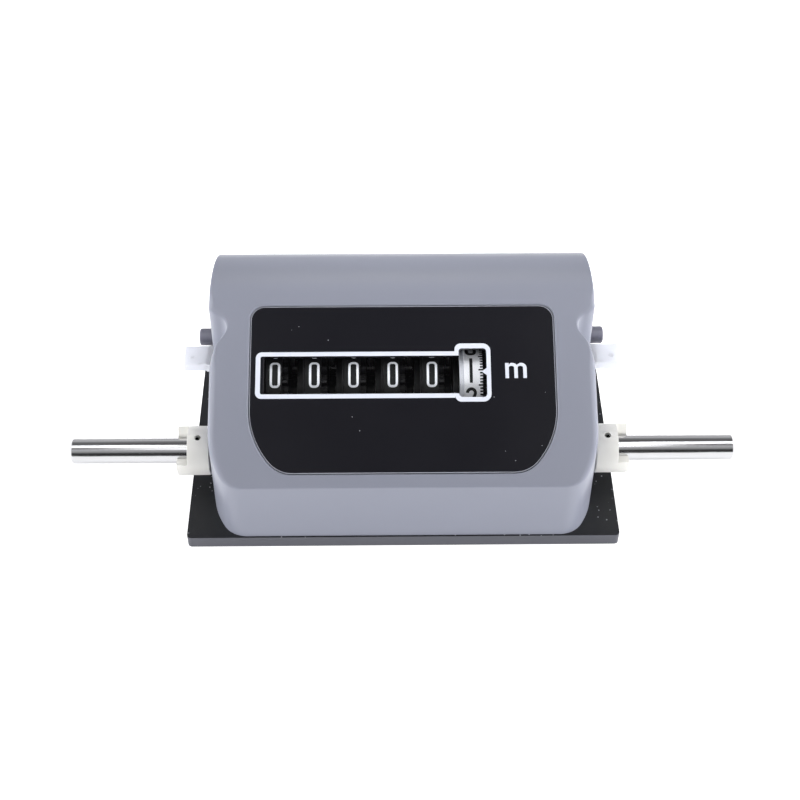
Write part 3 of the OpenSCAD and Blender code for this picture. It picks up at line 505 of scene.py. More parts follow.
def side_points():
    """Left half of the hood's plan, front to back: scooped point, its normal, plain point and the
    radius of the edge between side and top there."""
    pts = [(p, n, p, EDGE_FRONT + (EDGE_SIDE - EDGE_FRONT) * abs(n[0]) ** 1.3)
           for p, n in soft_side(SIDE, FRONT, CORNER_W, CORNER_L, TIP_R, 16)]
    bc = (SCOOP_D - SCOOP_R, SCOOP_Y)

    def flank(run):
        return ((run * run + bc[0] ** 2 - SCOOP_R ** 2) / (2 * (SCOOP_R + bc[0])), bc[1] + run)

    f0, f1 = flank(-RUN_F), flank(RUN_B)
    for y in np.linspace(pts[-1][0][1], f0[1], 8)[1:-1]:
        pts.append(((-SIDE, y), (-1, 0), (-SIDE, y), EDGE_SIDE))

    def arc_pts(c, r, d0, d1, n, outward, edge):
        # c and directions are in (depth, y); depth grows inwards
        a0, a1 = math.atan2(d0[1], d0[0]), math.atan2(d1[1], d1[0])
        d = (a1 - a0 + math.pi) % (2 * math.pi) - math.pi
        for i in range(n + 1):
            a = a0 + d * i / n
            u = (math.cos(a), math.sin(a))
            p = (-SIDE + c[0] + r * u[0], c[1] + r * u[1])
            nn = u if outward else (-u[0], -u[1])
            pts.append((p, nn, (-SIDE, p[1]), edge(i / n)))

    to0 = (f0[0] - bc[0], f0[1] - bc[1])
    to1 = (f1[0] - bc[0], f1[1] - bc[1])
    arc_pts(f0, f0[0], (-1, 0), (-to0[0], -to0[1]), 14, True,
            lambda t: EDGE_SIDE - (EDGE_SIDE - EDGE_SCOOP) * ease(t * 1.3))
    arc_pts(bc, SCOOP_R, to0, to1, 16, False,
            lambda t: EDGE_SCOOP + (EDGE_OUT - EDGE_SCOOP) * t * t)
    arc_pts(f1, f1[0], (-to1[0], -to1[1]), (-1, 0), 8, True,
            lambda t: EDGE_OUT + (EDGE_LIP - EDGE_OUT) * t)
    y_end = BACK - BACK_R
    for y in np.linspace(f1[1], y_end, 14)[1:-1]:
        edge = EDGE_LIP - (EDGE_LIP - EDGE_BACK) * ease((y - f1[1]) / 3.5)
        pts.append(((-SIDE, y), (-1, 0), (-SIDE, y), edge))
    for i in range(13):
        a = math.radians(180 - 90 * i / 12)
        u = (math.cos(a), math.sin(a))
        p = (-SIDE + BACK_R + BACK_R * u[0], y_end + BACK_R * u[1])
        pts.append((p, u, p, EDGE_BACK))
    return [((p[0] - lip(p[1]), p[1]), n, (q[0] - lip(q[1]), q[1]), r) for p, n, q, r in pts]


def top_height(y, inset):
    """Height of the hood's skin set in by inset, and its unit normal, above a place y."""
    t_y = RIDGE_Y - (RIDGE_R - inset) * SIN
    if y <= t_y:
        return CREASE + (y - FRONT) * TAN - inset / COS, (0.0, -SIN, COS)
    r = RIDGE_R - inset
    dy = min(y - RIDGE_Y, r)
    z = RIDGE_Z + math.sqrt(max(0.0, r * r - dy * dy))
    return z, (0.0, dy / r, (z - RIDGE_Z) / r)


def hood_skin(inset, outer):
    """Columns of the hood's outer or inner skin, one for each point of its left half, upwards."""
    floor = SCOOP_Z - inset
    cols = []
    for p, n, plain, rf in side_points():
        q = (p[0] - n[0] * inset, p[1] - n[1] * inset)
        if plain == p:
            q_plain = q
        else:
            q_plain = (plain[0] + inset, plain[1])
        col = [(*q_plain, PLATE_T), (*q_plain, floor), (*q, floor)]
        if outer:
            c = (p[0] - n[0] * rf, p[1] - n[1] * rf)
            zc, up = top_height(c[1], rf)
            out = (n[0], n[1], 0.0)
            dot = max(-1.0, min(1.0, out[0] * up[0] + out[1] * up[1]))
            ang = math.acos(dot)
            col.append((p[0], p[1], max(floor + 0.2, zc - 0.6 * rf)))
            for k in range(8):
                t = k / 7
                if ang < 1e-4:
                    d = out
                else:
                    a, b = math.sin((1 - t) * ang) / math.sin(ang), math.sin(t * ang) / math.sin(ang)
                    d = tuple(a * o + b * u for o, u in zip(out, up))
                col.append((c[0] + rf * d[0], c[1] + rf * d[1], zc + rf * d[2]))
        else:
            z, _ = top_height(q[1], inset)
            col.append((*q, z))
        cols.append(col)
    return cols


def closed_shell(cols):
    """Vertices and faces of a skin from the columns of its left half, mirrored, with its top."""
    n, m = len(cols), len(cols[0])
    loop = cols[::-1] + [[(-x, y, z) for x, y, z in c] for c in cols]
    verts = [p for c in loop for p in c]
    faces = []
    count = len(loop)
    for i in range(count):
        k = (i + 1) % count
        for j in range(m - 1):
            faces.append((i * m + j, i * m + j + 1, k * m + j + 1, k * m + j))
    for i in range(n - 1):
        a, b = i, i + 1
        faces.append((a * m + m - 1, (count - 1 - a) * m + m - 1, (count - 1 - b) * m + m - 1,
                      b * m + m - 1))
    return verts, faces, count, m


def prism_x(name, outline, x0, x1):
    """Cutter from a side view in (y, z), between two places along X."""
    v, f = rings([[(x, p[0], p[1]) for p in outline] for x in (x0, x1)])
    return add(name, v, f, None, ride=False)


def panel_outline(grow):
    """Outline of the face panel on the slope, grown evenly."""
    half = [p for p, _ in soft_side(PANEL_HALF + grow, PANEL_LOW - grow, PANEL_SOFT_W + grow,
                                    PANEL_SOFT_L + grow, PANEL_TIP_R + grow, 14)]
    r = PANEL_TOP_R + grow
    c = (-PANEL_HALF - grow + r, PANEL_LOW + PANEL_L + grow - r)
    half += arc(c, r, 180, 90, 10)
    return half + [(-x, s) for x, s in half[::-1]]


def stepped(left, step, right, wide, tall, radii, n=6):
    """Outline on the slope of a wide field with a taller one at its right end. wide and tall are
    spans along the slope, and radii are those at the left end, at the step and of the tall field."""
    pts = [(left, wide[0]), (step, wide[0]), (step, tall[0]), (right, tall[0]),
           (right, tall[1]), (step, tall[1]), (step, wide[1]), (left, wide[1])]
    end, foot, corner = radii
    return rounded(pts, [end, 0, foot, corner, corner, foot, 0, end], n)


def window_outline(grow):
    """Outline of the stepped window on the slope, grown evenly."""
    r = max(0.05, WINDOW_R + grow)
    return stepped(TENTHS_X - WHEELS * PITCH - WINDOW_REACH - grow, TENTHS_X - TENTHS_LEFT - grow,
                   TENTHS_X + TENTHS_RIGHT + grow,
                   (WINDOW_S - WINDOW_HALF - grow, WINDOW_S + WINDOW_HALF + grow),
                   (TENTHS_S - TENTHS_HALF - grow, TENTHS_S + TENTHS_HALF + grow), (r, r, r))


def slope_prism(name, levels):
    """Cutter on the slope through (height, outline) levels."""
    v, f = rings([[on_slope(p[0], p[1], h) for p in loop] for h, loop in levels])
    return add(name, v, f, None, ride=False)


def make_hood():
    """Hood as a shell with its scoops, panel pocket, window and side openings."""
    vo, fo, count, m = closed_shell(hood_skin(0.0, True))
    vi, fi, _, mi = closed_shell(hood_skin(WALL, False))
    base = len(vo)
    faces = fo + [tuple(i + base for i in t[::-1]) for t in fi]
    for i in range(count):
        k = (i + 1) % count
        faces.append((i * m, k * m, base + k * mi, base + i * mi))
    hood = add("hood_shell", vo + vi, faces, hood_mat)
    pocket = slope_prism("pocket", [(-SINK - PANEL_T, panel_outline(0.25)),
                                    (-0.28, panel_outline(0.25)), (0.6, panel_outline(1.13))])
    window = slope_prism("window", [(-6, window_outline(1.6)), (0.5, window_outline(1.6))])
    cutters = [pocket, window]
    slot = arc(DRIVE, SLOT_R, 0, 180, 24) + [(DRIVE[0] - SLOT_R, PLATE_T - 1),
                                             (DRIVE[0] + SLOT_R, PLATE_T - 1)]
    y0, y1 = PADDLE_FRONT - 0.8, PADDLE_FRONT + PADDLE_D + 0.65
    z0, z1 = SCOOP_Z + 0.3, PADDLE_TOP + 0.3
    paddle = rounded([(y0, z0), (y1, z0), (y1, z1), (y0, z1)], 0.4, 4)
    for sx in (-1, 1):
        cutters += [prism_x("shaft_slot", slot, sx * 44, sx * 56),
                    prism_x("paddle_slot", paddle, sx * 43, sx * 56),
                    prism_x("rod_hole", arc(RESET, ROD_HOLE_R, 0, 350, 35), sx * 46, sx * 56)]
    cut(hood, cutters, hood_mat, sharp=24)
    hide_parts("housing")


def make_panel():
    """Glossy panel with its window, and a light grey ring along its edge that is a painted highlight
    on the bevel.
    """
    top = -SINK
    levels = []
    for h, g in ((top - PANEL_T, 0.0), (top - 0.12, 0.0), (top, -0.12)):
        levels.append((h, [panel_outline(g), window_outline(-g)]))
    v, f = slab(levels)
    panel = add("panel_plate", v, f, panel_mat, sharp=20)
    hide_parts("face_panel")
    # Light grey ring on the panel's edge: a painted highlight of its bevel.
    v, f = slab([(top - 0.3, [panel_outline(0.02), panel_outline(-0.2)]),
                 (top + 0.03, [panel_outline(-0.04), panel_outline(-0.18)])])
    edge = add("panel_edge_painted_highlight", v, f, panel_edge_painted_highlight_mat, sharp=20)


def make_print():
    """White frame round the window, its pointer and the unit letter, as thin ink on the panel."""
    h0, h1 = -SINK - 0.01, -SINK + INK_T
    outer, inner = stepped(*INK_OUTER, 8), stepped(*INK_INNER)
    v, f = slab([(h0, [outer, inner]), (h1, [outer, inner])])
    # The frame takes the darker white ink, a painted shade for the panel's stronger light.
    ink = add("ink_frame", v, f, panel_ink_painted_shade_mat)
    tip = [(POINTER_TIP, POINTER_S), (POINTER_BACK, POINTER_S - POINTER_HALF),
           (POINTER_BACK, POINTER_S + POINTER_HALF)]
    v, f = slab([(h0 - 0.03, [tip]), (h1, [tip])])
    pointer = add("ink_pointer", v, f, panel_ink_painted_shade_mat)
    letter = letter_m(*LETTER)
    v, f = slab([(h0, [letter]), (h1, [letter])])
    unit = add("ink_unit", v, f, panel_ink_painted_shade_mat)


def letter_m(x, s, w, h, t):
    """Outline of a lower-case m with two round arches."""
    stem = [x, x + (w - t) / 2, x + w - t]
    out = [(stem[0], s), (stem[0], s + h)]
    out += [(stem[0] + t, s + h), (stem[0] + t, s + h - 0.55)]
    # outer top edge: two arches that meet above the middle stem
    for k in (0, 1):
        x0, x1 = stem[k] + t, stem[k + 1] + t
        r = 1.35
        cx = x1 - r
        out += [(x0 + 0.25, s + h - 0.22), ((x0 + cx) / 2 + 0.1, s + h + 0.02)]
        out += arc((cx, s + h - r), r, 90, 0, 6) if k else arc((cx, s + h - r), r, 90, 38, 4)
    out += [(x + w, s), (x + w - t, s)]
    r = 0.5
    for k in (1, 0):
        x0, x1 = stem[k] + t, stem[k + 1]
        top = s + h - t + 0.12
        out += arc((x1 - r, top - r), r, 0, 90, 4) + arc((x0 + r, top - r), r, 90, 180, 4)
        out += [(x0, s), (x0 - t, s)] if k else [(x0, s)]
    return out


# Number wheels
def digit_strokes(d, reach=0.0):
    """Centre lines of a narrow digit, each with whether it closes. reach makes a 1 taller."""
    a, b = DIGIT_A, DIGIT_B
    if d == 0:
        half = a + 0.025
        box = [(-half, -ZERO_B), (half, -ZERO_B), (half, ZERO_B), (-half, ZERO_B)]
        return [(rounded(box, 0.8, 6), True)]
    if d == 1:
        return [([(0, -b - reach), (0, b + reach)], False)]
    if d == 2:
        return [(arc((0, b - a), a, 180, -20, 12) + [(-a, -b), (1.15 * a, -b)], False)]
    if d == 3:
        return [(arc((0, b - a), a, 180, 0, 10) + [(a, 1.1)] + arc((0, 1.0), a, 0, -70, 4), False),
                (arc((0, -0.9), a, 70, 0, 4) + arc((0, -b + a), a, 0, -180, 10), False)]
    if d == 4:
        return [([(0.55, -b), (0.55, b), (-1.15, -1.3), (1.3, -1.3)], False)]
    if d == 5:
        return [([(a, b), (-a, b), (-a, 0.5)] + arc((0, 0.1), a, 120, 0, 6)
                 + arc((0, -b + a), a, 0, -180, 10), False)]
    if d in (6, 9):
        six = (arc((0, b - a), a, 0, 180, 10) + arc((0, -b + a), a, 180, 360, 10)
               + arc((0, -0.3), a, 0, 180, 10))
        turn = 1 if d == 6 else -1
        return [([(turn * p[0], turn * p[1]) for p in six], False)]
    if d == 7:
        return [([(-1.15, b), (1.15, b), (-0.35, -b)], False)]
    return [(arc((0, b - a), a, 0, 180, 10) + arc((0, 1.05), a, 180, 360, 10), True),
            (arc((0, -0.95), a, 0, 180, 10) + arc((0, -b + a), a, 180, 360, 10), True)]


def ribbon(points, width, closed, step=0.35):
    """Left and right edges of a stroke along a centre line, resampled finely."""
    pts = [np.array(p, float) for p in points]
    if closed:
        pts.append(pts[0])
    dense = [pts[0]]
    for p, q in zip(pts, pts[1:]):
        n = max(1, int(math.ceil(np.linalg.norm(q - p) / step)))
        for i in range(1, n + 1):
            dense.append(p + (q - p) * i / n)
    if closed:
        dense.pop()
    n = len(dense)
    left, right = [], []
    for i, p in enumerate(dense):
        a = dense[i - 1] if (i or closed) else p
        b = dense[(i + 1) % n] if (i < n - 1 or closed) else p
        d0, d1 = p - a, b - p
        d0 = d0 / np.linalg.norm(d0) if np.linalg.norm(d0) > 1e-9 else d1 / np.linalg.norm(d1)
        d1 = d1 / np.linalg.norm(d1) if np.linalg.norm(d1) > 1e-9 else d0
        t = d0 + d1
        t /= np.linalg.norm(t)
        k = min(2.2, 1 / max(0.3, float(t @ d0)))
        nrm = np.array((-t[1], t[0])) * width / 2 * k
        left.append(p + nrm)
        right.append(p - nrm)
    return left, right


def wrap(u, v, x, angle, r):
    """A point of a wheel's rim: u across and v up from a digit's centre."""
    a = math.radians(angle) - v / r
    return (x + u, WHEEL[0] + r * math.cos(a), WHEEL[1] + r * math.sin(a))


def printed(name, items, x, body, mat):
    """Thin ink on a rim. items are (centre line, closed, width, angle) in the rim's plane."""
    verts, faces = [], []
    for pts, closed, width, angle in items:
        left, right = ribbon(pts, width, closed)
        n = len(left)
        base = len(verts)
        for radius in (RIM_R + 0.002, RIM_R + 0.022):
            for p, q in zip(left, right):
                verts.append(wrap(p[0], p[1], x, angle, radius))
                verts.append(wrap(q[0], q[1], x, angle, radius))
        lo, hi = base, base + 2 * n
        for i in range(n if closed else n - 1):
            k = (i + 1) % n
            faces.append((hi + 2 * i, hi + 2 * i + 1, hi + 2 * k + 1, hi + 2 * k))
            faces.append((lo + 2 * i, lo + 2 * i + 1, lo + 2 * k + 1, lo + 2 * k))
            faces.append((lo + 2 * i, hi + 2 * i, hi + 2 * k, lo + 2 * k))
            faces.append((lo + 2 * i + 1, hi + 2 * i + 1, hi + 2 * k + 1, lo + 2 * k + 1))
        if not closed:
            for i in (0, n - 1):
                faces.append((lo + 2 * i, lo + 2 * i + 1, hi + 2 * i + 1, hi + 2 * i))
    return add(name, verts, faces, mat, body)


def sleeve(name, x, span, r, body, mat, edge=0.12):
    """Smooth ring over a wheel's toothed solid, with small edge bevels. span is about x."""
    x0, x1 = x + span[0], x + span[1]
    prof = [(x0, r - 0.5), (x0, r - edge), (x0 + edge, r), (x1 - edge, r), (x1, r - edge),
            (x1, r - 0.5)]
    return lathe(name, prof, WHEEL, mat, body, seg=144, bore=True, sharp=40)


def make_wheels():
    """Rims with printed digits, and the tenths wheel's scale of ticks."""
    for k in range(1, WHEELS + 1):
        x = TENTHS_X - k * PITCH
        body = "number_%d" % k
        rim = sleeve("rim_%d" % k, x, RIM_SPAN, RIM_R, body, wheel_black, 0.22)
        # The shoulder takes the lighter black, a painted glint beside each digit.
        shoulder = sleeve("shoulder_%d" % k, x, SHOULDER_SPAN, RIM_R - SHOULDER_DROP, body,
                          wheel_side_painted_glint)
        items = []
        for d in range(10):
            for pts, closed in digit_strokes(d):
                items.append((pts, closed, STROKE, FACE_DEG + DIGIT_DEG * d))
        # Digits take the lighter white ink, painted light against the window's shade.
        ink = printed("digits_%d" % k, items, x, body, digit_ink_painted_light_mat)
    x = TENTHS_X
    rim = sleeve("rim_tenths", x, TENTHS_RIM, RIM_R, "tenths", wheel_white)
    # The shoulder takes the greyer white, painted shade on the step.
    shoulder = sleeve("shoulder_tenths", x, TENTHS_SHOULDER, RIM_R - TENTHS_DROP, "tenths",
                      wheel_white_painted_shade)
    items = []
    for d in range(10):
        angle = TENTHS_FACE_DEG + DIGIT_DEG * (d - 1)
        for pts, closed in digit_strokes(d, ONE_REACH):
            items.append((pts, closed, TENTHS_STROKE, angle))
        for t in range(10):
            start = LONG_TICK if t % 5 == 0 else SHORT_TICK
            items.append(([(start, 0), (TICK_END, 0)], False, TICK_STROKE, angle + TICK_DEG * t))
    ink = printed("digits_tenths", items, x, "tenths", black_print)


# Shaft, collars, caps, paddles and screws
def make_shaft():
    """Bright bar with a chamfer at each end."""
    end, c = SHAFT_HALF, SHAFT_CHAMFER
    half = [(end - c - 0.12, SHAFT_R), (end - c, SHAFT_R - 0.04), (end - 0.15, 2.93), (end, 2.75),
            (end, ON_AXIS)]
    prof = [(-x, r) for x, r in half[::-1]] + half
    shaft = lathe("shaft_bar", prof, DRIVE, shaft_mat, "drive", seg=160, sharp=28)
    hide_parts("drive_shaft")


def make_collars():
    """Collars with two dogs at the free end and a hole for the cross pin."""
    r, b = COLLAR_R, COLLAR_EDGE
    prof = [(COLLAR_X, COLLAR_BORE), (COLLAR_X, r - b), (COLLAR_X + 0.1, r - 0.1),
            (COLLAR_X + b, r), (FREE_X - b, r), (FREE_X - 0.1, r - 0.1), (FREE_X, r - b),
            (FREE_X, COLLAR_BORE)]
    for side, node in ((1, "right_collar"), (-1, "left_collar")):
        ob = lathe(node + "_moulding", prof, DRIVE, collar_mat, "drive", seg=128, bore=True,
                   mirror=side < 0)
        cutters = []
        for mid in (DOG_AXIS + 90, DOG_AXIS + 270):
            half = 90 - DOG_SPAN / 2
            wedge = [DRIVE] + arc(DRIVE, 12, mid - half, mid + half, 16)
            cutters.append(prism_x("dog_gap", wedge, side * (FREE_X - DOG_L), side * (FREE_X + 2)))
        axis = np.array((0, -math.sin(PIN_LEAN), math.cos(PIN_LEAN)))
        e1 = np.array((1.0, 0, 0))
        e2 = np.cross(axis, e1)
        c = np.array((side * PIN_X, DRIVE[0], DRIVE[1]))
        loops = [[tuple(c + axis * h + PIN_HOLE_R * (math.cos(t) * e1 + math.sin(t) * e2))
                  for t in np.linspace(0, 2 * math.pi, 33)[:-1]] for h in (-9, 9)]
        v, f = rings(loops)
        cutters.append(add("pin_hole", v, f, None, ride=False))
        cut(ob, cutters, collar_mat, sharp=35, weighted=False)
        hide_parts(node)


def make_caps():
    """Sleeves on the ends of the reset rod."""
    r, end = CAP_R, CAP_TO
    prof = [(CAP_FROM, CAP_BORE), (CAP_FROM, r), (end - 0.55, r), (end - 0.3, r - 0.08),
            (end - 0.1, r - 0.28), (end, r - 0.55), (end, ON_AXIS), (CAP_BOTTOM, ON_AXIS),
            (CAP_BOTTOM - 0.03, CAP_BORE)]
    for side, node in ((1, "right_rod_cap"), (-1, "left_rod_cap")):
        ob = lathe(node + "_turned", prof, RESET, cap_mat, "base", seg=96, bore=True,
                   mirror=side < 0, sharp=32)
        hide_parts(node)


def rounded_box(x0, x1, y0, y1, z0, z1, r, n=4):
    """Box with all edges rounded, as loops along X."""
    loops = []
    for i in range(n + 1):
        a = math.radians(90 * i / n)
        loops.append((x0 + r - r * math.cos(a), r - r * math.sin(a)))
    loops += [(x0 + x1 - x, g) for x, g in loops[::-1]]
    out = []
    for x, g in loops:
        pts = rounded([(y0 + g, z0 + g), (y1 - g, z0 + g), (y1 - g, z1 - g), (y0 + g, z1 - g)],
                      max(0.02, r - g), n)
        out.append([(x, p[0], p[1]) for p in pts])
    return rings(out)


def make_paddles():
    """Paddles with a flange beside the hood, and a short rib and a star mark on the top."""
    front, top = PADDLE_FRONT, PADDLE_TOP
    back, bottom = front + PADDLE_D, top - PADDLE_T
    for side, node in ((1, "right_paddle"), (-1, "left_paddle")):
        verts, faces = [], []

        def put(v, f):
            base = len(verts)
            verts.extend((side * p[0], p[1], p[2]) for p in v)
            faces.extend(tuple(i + base for i in t) for t in f)

        put(*rounded_box(PADDLE_FROM, PADDLE_TO, front - 0.35, back, bottom - 0.15, top, 0.45))
        put(*rounded_box(*FLANGE, front - 0.45, back, bottom - 0.3, top - 0.05, 0.3))
        put(*rounded_box(*RIB, front + 0.1, front + 0.3, top - 0.2, top + 0.05, 0.05, 2))
        star = []
        for i in range(12):
            r = STAR_OUT if i % 2 == 0 else STAR_IN
            a = math.radians(30 * i)
            star.append((STAR_X + r * math.cos(a), front + STAR_Y + r * math.sin(a)))
        v, f = rings([[(p[0], p[1], z) for p in star] for z in (top - 0.2, top + 0.05)])
        put(v, f)
        ob = add(node + "_blade", verts, faces, paddle_mat, "reset", sharp=35)
        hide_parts(node)


def make_screws():
    """Cross recesses in the screw heads under the plate, drawn as dark solid crosses: painted shade of
    the hollows.
    """
    places = [(s * BOSS_X, y) for s in (-1, 1) for y in BOSS_Y]
    places += [(s * FRAME_X, y) for s in (-1, 1) for y in FRAME_Y]
    bar = [(-CROSS_L, -CROSS_W), (CROSS_L, -CROSS_W), (CROSS_L, CROSS_W), (-CROSS_L, CROSS_W)]
    verts, faces = [], []
    for x, y in places:
        for turn in (CROSS_DEG, CROSS_DEG + 90):
            ca, sa = math.cos(math.radians(turn)), math.sin(math.radians(turn))
            loop = [(x + p[0] * ca - p[1] * sa, y + p[0] * sa + p[1] * ca) for p in bar]
            v, f = rings([[(p[0], p[1], z) for p in loop] for z in CROSS_Z])
            base = len(verts)
            verts += v
            faces += [tuple(i + base for i in t) for t in f]
    # The dark crosses are painted shade in place of hollow recesses.
    ob = add("screw_recess_painted_shade", verts, faces, dark_steel)


make_hood()
make_panel()
make_print()
make_wheels()
make_shaft()
make_collars()
make_caps()
make_paddles()
make_screws()


# Stage, light and camera

# Radiance of the studio round the part: degrees from the front horizon over the top, and level
SKY = ((0, 0.03), (25, 0.04), (40, 0.38), (58, 0.5), (75, 0.08), (92, 0.05), (102, 0.3),
       (115, 0.08), (140, 0.26), (155, 0.62), (180, 0.4))
SKY_TOP = 4.0
# Level added at both sides, and the part of a ray along X from which it starts and is whole
SIDE_GLOW, SIDE_FROM, SIDE_FULL = 0.15, 0.5, 0.9
# Floor's own glow in mirrors and to the camera, and its half width and height in metres
FLOOR_GLOW, FLOOR_WHITE = 0.3, 0.85
FLOOR_HALF, FLOOR_Z = 3.0, -0.0002
# Camera fitted to the photo: place in metres, turns in degrees, sensor and lens in millimetres
CAMERA_PLACE = (-0.004571, -0.28160, 0.31476)
CAMERA_YAW, CAMERA_PITCH, CAMERA_ROLL = 0.8126, 46.5, 0.2345
SENSOR, LENS = 36, 66.78
# Lamps in metres and watts: name, place, aim, size, power and what sees them
LAMPS = (("key_box", (0.01, 0.13, 0.30), (0, 0.02, 0.03), (0.16, 0.12), 0.42, "diffuse"),
         ("ridge_box", (0.01, 0.08, 0.17), (0.01, 0.04, 0.03), (0.16, 0.05), 0.12, "diffuse"),
         ("front_box", (0, -0.6, 0.03), (0, 0, 0.03), (0.8, 0.05), 0.26, "diffuse"))
# Lamps in pairs, given for the right side, with the powers of the left and the right one
LAMP_PAIRS = (("box", (0.5, -0.35, 0.06), (0, 0, 0.03), (0.3, 0.1), (2.6, 3.1), "diffuse"),
              ("rear", (0.5, 0.10, 0.04), (0, 0, 0.03), (0.35, 0.08), (1.7, 1.7), "diffuse"),
              ("glow", (0.5, 0.15, 0.12), (0, 0, 0.03), (0.3, 0.2), (0.25, 0.25), "all"),
              ("band", (0.37, 0.0, 0.36), (0, 0, 0.03), (0.12, 0.4), (0.4, 0.4), "mirrors"),
              ("top", (0.22, -0.165, 0.5), (0.22, -0.165, 0), (0.2, 0.36), (0.25, 0.3), "all"))


def white_for(nt, *rays):
    """A factor of 1 for the named kinds of ray."""
    lp = nt.nodes.new("ShaderNodeLightPath")
    out = lp.outputs[rays[0]]
    for ray in rays[1:]:
        out = math_node(nt, "MAXIMUM", out, lp.outputs[ray])
    return out


def make_floor():
    """Pale table that keeps the shadow, with a glow that is whiter to the camera than in mirrors."""
    m = bpy.data.materials.new("floor_pale")
    m.use_nodes = True
    nt = m.node_tree
    nt.nodes.clear()
    out = nt.nodes.new("ShaderNodeOutputMaterial")
    diff = nt.nodes.new("ShaderNodeBsdfDiffuse")
    diff.inputs[0].default_value = (0.86, 0.86, 0.86, 1)
    em = nt.nodes.new("ShaderNodeEmission")
    em.inputs[0].default_value = (1, 1, 1, 1)
    glow = nt.nodes.new("ShaderNodeMapRange")
    glow.inputs["To Min"].default_value = FLOOR_GLOW
    glow.inputs["To Max"].default_value = FLOOR_WHITE
    nt.links.new(white_for(nt, "Is Camera Ray"), glow.inputs["Value"])
    nt.links.new(glow.outputs[0], em.inputs[1])
    add_s = nt.nodes.new("ShaderNodeAddShader")
    nt.links.new(diff.outputs[0], add_s.inputs[0])
    nt.links.new(em.outputs[0], add_s.inputs[1])
    mix = nt.nodes.new("ShaderNodeMixShader")
    nt.links.new(white_for(nt, "Is Camera Ray", "Is Glossy Ray", "Is Transmission Ray"),
                 mix.inputs[0])
    nt.links.new(diff.outputs[0], mix.inputs[1])
    nt.links.new(add_s.outputs[0], mix.inputs[2])
    nt.links.new(mix.outputs[0], out.inputs[0])
    me = bpy.data.meshes.new("floor")
    s, z = FLOOR_HALF, FLOOR_Z
    me.from_pydata([(-s, -s, z), (s, -s, z), (s, s, z), (-s, s, z)], [], [(0, 1, 2, 3)])
    me.materials.append(m)
    ob = bpy.data.objects.new("floor", me)
    bpy.context.scene.collection.objects.link(ob)


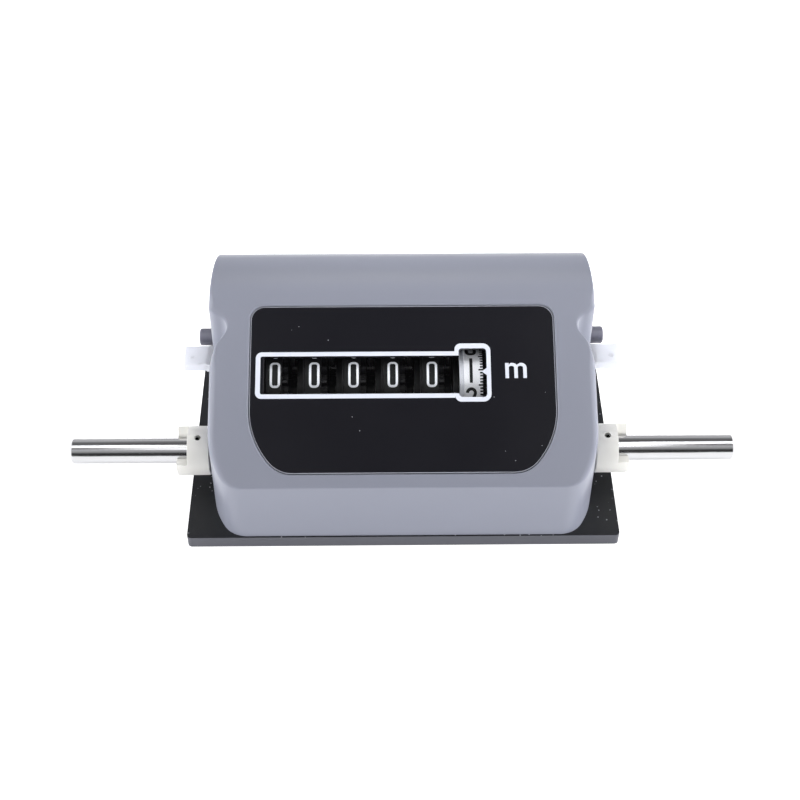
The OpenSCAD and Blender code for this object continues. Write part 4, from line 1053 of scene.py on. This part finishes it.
def make_world():
    """White to the camera. The part's own light is a soft studio after SKY, brighter at the sides."""
    w = bpy.data.worlds.new("studio")
    bpy.context.scene.world = w
    w.use_nodes = True
    nt = w.node_tree
    nt.nodes.clear()
    tc = nt.nodes.new("ShaderNodeTexCoord")
    xyz = nt.nodes.new("ShaderNodeSeparateXYZ")
    nt.links.new(tc.outputs["Generated"], xyz.inputs[0])
    x, y, z = xyz.outputs
    angle = math_node(nt, "ARCTAN2", z, math_node(nt, "MULTIPLY", y, -1.0))
    turn = math_node(nt, "DIVIDE", angle, math.pi)
    ramp = nt.nodes.new("ShaderNodeValToRGB")
    ramp.color_ramp.interpolation = "LINEAR"
    for i, (deg, v) in enumerate(SKY):
        if i < 2:
            e = ramp.color_ramp.elements[i]
            e.position = deg / 180
        else:
            e = ramp.color_ramp.elements.new(deg / 180)
        e.color = (v / SKY_TOP,) * 3 + (1,)
    nt.links.new(turn, ramp.inputs[0])
    level = math_node(nt, "MULTIPLY", ramp.outputs[0], SKY_TOP)
    for sign in (-1.0, 1.0):
        mr = nt.nodes.new("ShaderNodeMapRange")
        mr.interpolation_type = "SMOOTHSTEP"
        mr.inputs["From Min"].default_value = SIDE_FROM
        mr.inputs["From Max"].default_value = SIDE_FULL
        nt.links.new(math_node(nt, "MULTIPLY", x, sign), mr.inputs["Value"])
        level = math_node(nt, "ADD", level, math_node(nt, "MULTIPLY", mr.outputs[0], SIDE_GLOW))
    out = nt.nodes.new("ShaderNodeOutputWorld")
    bg = nt.nodes.new("ShaderNodeBackground")
    bg.inputs[0].default_value = (0.985, 0.99, 1.0, 1)
    nt.links.new(level, bg.inputs[1])
    white = nt.nodes.new("ShaderNodeBackground")
    white.inputs[0].default_value = (1, 1, 1, 1)
    mix = nt.nodes.new("ShaderNodeMixShader")
    nt.links.new(white_for(nt, "Is Camera Ray", "Is Transmission Ray"), mix.inputs[0])
    nt.links.new(bg.outputs[0], mix.inputs[1])
    nt.links.new(white.outputs[0], mix.inputs[2])
    nt.links.new(mix.outputs[0], out.inputs[0])


def area(name, place, aim, size, power, seen_by):
    """Soft box. seen_by is diffuse, mirrors or all: what kind of surface it lights."""
    d = bpy.data.lights.new(name, "AREA")
    d.shape = "RECTANGLE"
    d.size, d.size_y = size
    d.energy = power
    ob = bpy.data.objects.new(name, d)
    ob.location = place
    ob.rotation_mode = "QUATERNION"
    ob.rotation_quaternion = (Vector(aim) - Vector(place)).to_track_quat("-Z", "Y")
    ob.visible_glossy = seen_by != "diffuse"
    ob.visible_diffuse = seen_by != "mirrors"
    ob.visible_camera = False
    bpy.context.scene.collection.objects.link(ob)


def make_lamps():
    """Single lamps, then the pairs, each left lamp before its right one."""
    for lamp in LAMPS:
        area(*lamp)
    for word, place, aim, size, powers, seen_by in LAMP_PAIRS:
        for side, name, power in ((-1, "left_", powers[0]), (1, "right_", powers[1])):
            there = (side * place[0], place[1], place[2])
            at = (side * aim[0], aim[1], aim[2])
            area(name + word, there, at, size, power, seen_by)


def make_camera():
    """Camera at the photograph's place, from yaw, pitch and roll."""
    yaw, pitch, roll = (math.radians(a) for a in (CAMERA_YAW, CAMERA_PITCH, CAMERA_ROLL))
    fwd = Vector((math.sin(yaw) * math.cos(pitch), math.cos(yaw) * math.cos(pitch),
                  -math.sin(pitch)))
    r = Vector((math.cos(yaw), -math.sin(yaw), 0))
    u = r.cross(fwd)
    right = math.cos(roll) * r + math.sin(roll) * u
    up = -math.sin(roll) * r + math.cos(roll) * u
    d = bpy.data.cameras.new("camera")
    d.sensor_width = SENSOR
    d.lens = LENS
    d.clip_start, d.clip_end = 0.01, 20
    ob = bpy.data.objects.new("camera", d)
    m = Matrix((right, up, -fwd)).transposed().to_4x4()
    m.translation = Vector(CAMERA_PLACE)
    ob.matrix_world = m
    bpy.context.scene.collection.objects.link(ob)
    bpy.context.scene.camera = ob


make_floor()
make_world()
make_lamps()
make_camera()
bpy.context.scene.view_settings.view_transform = "Standard"
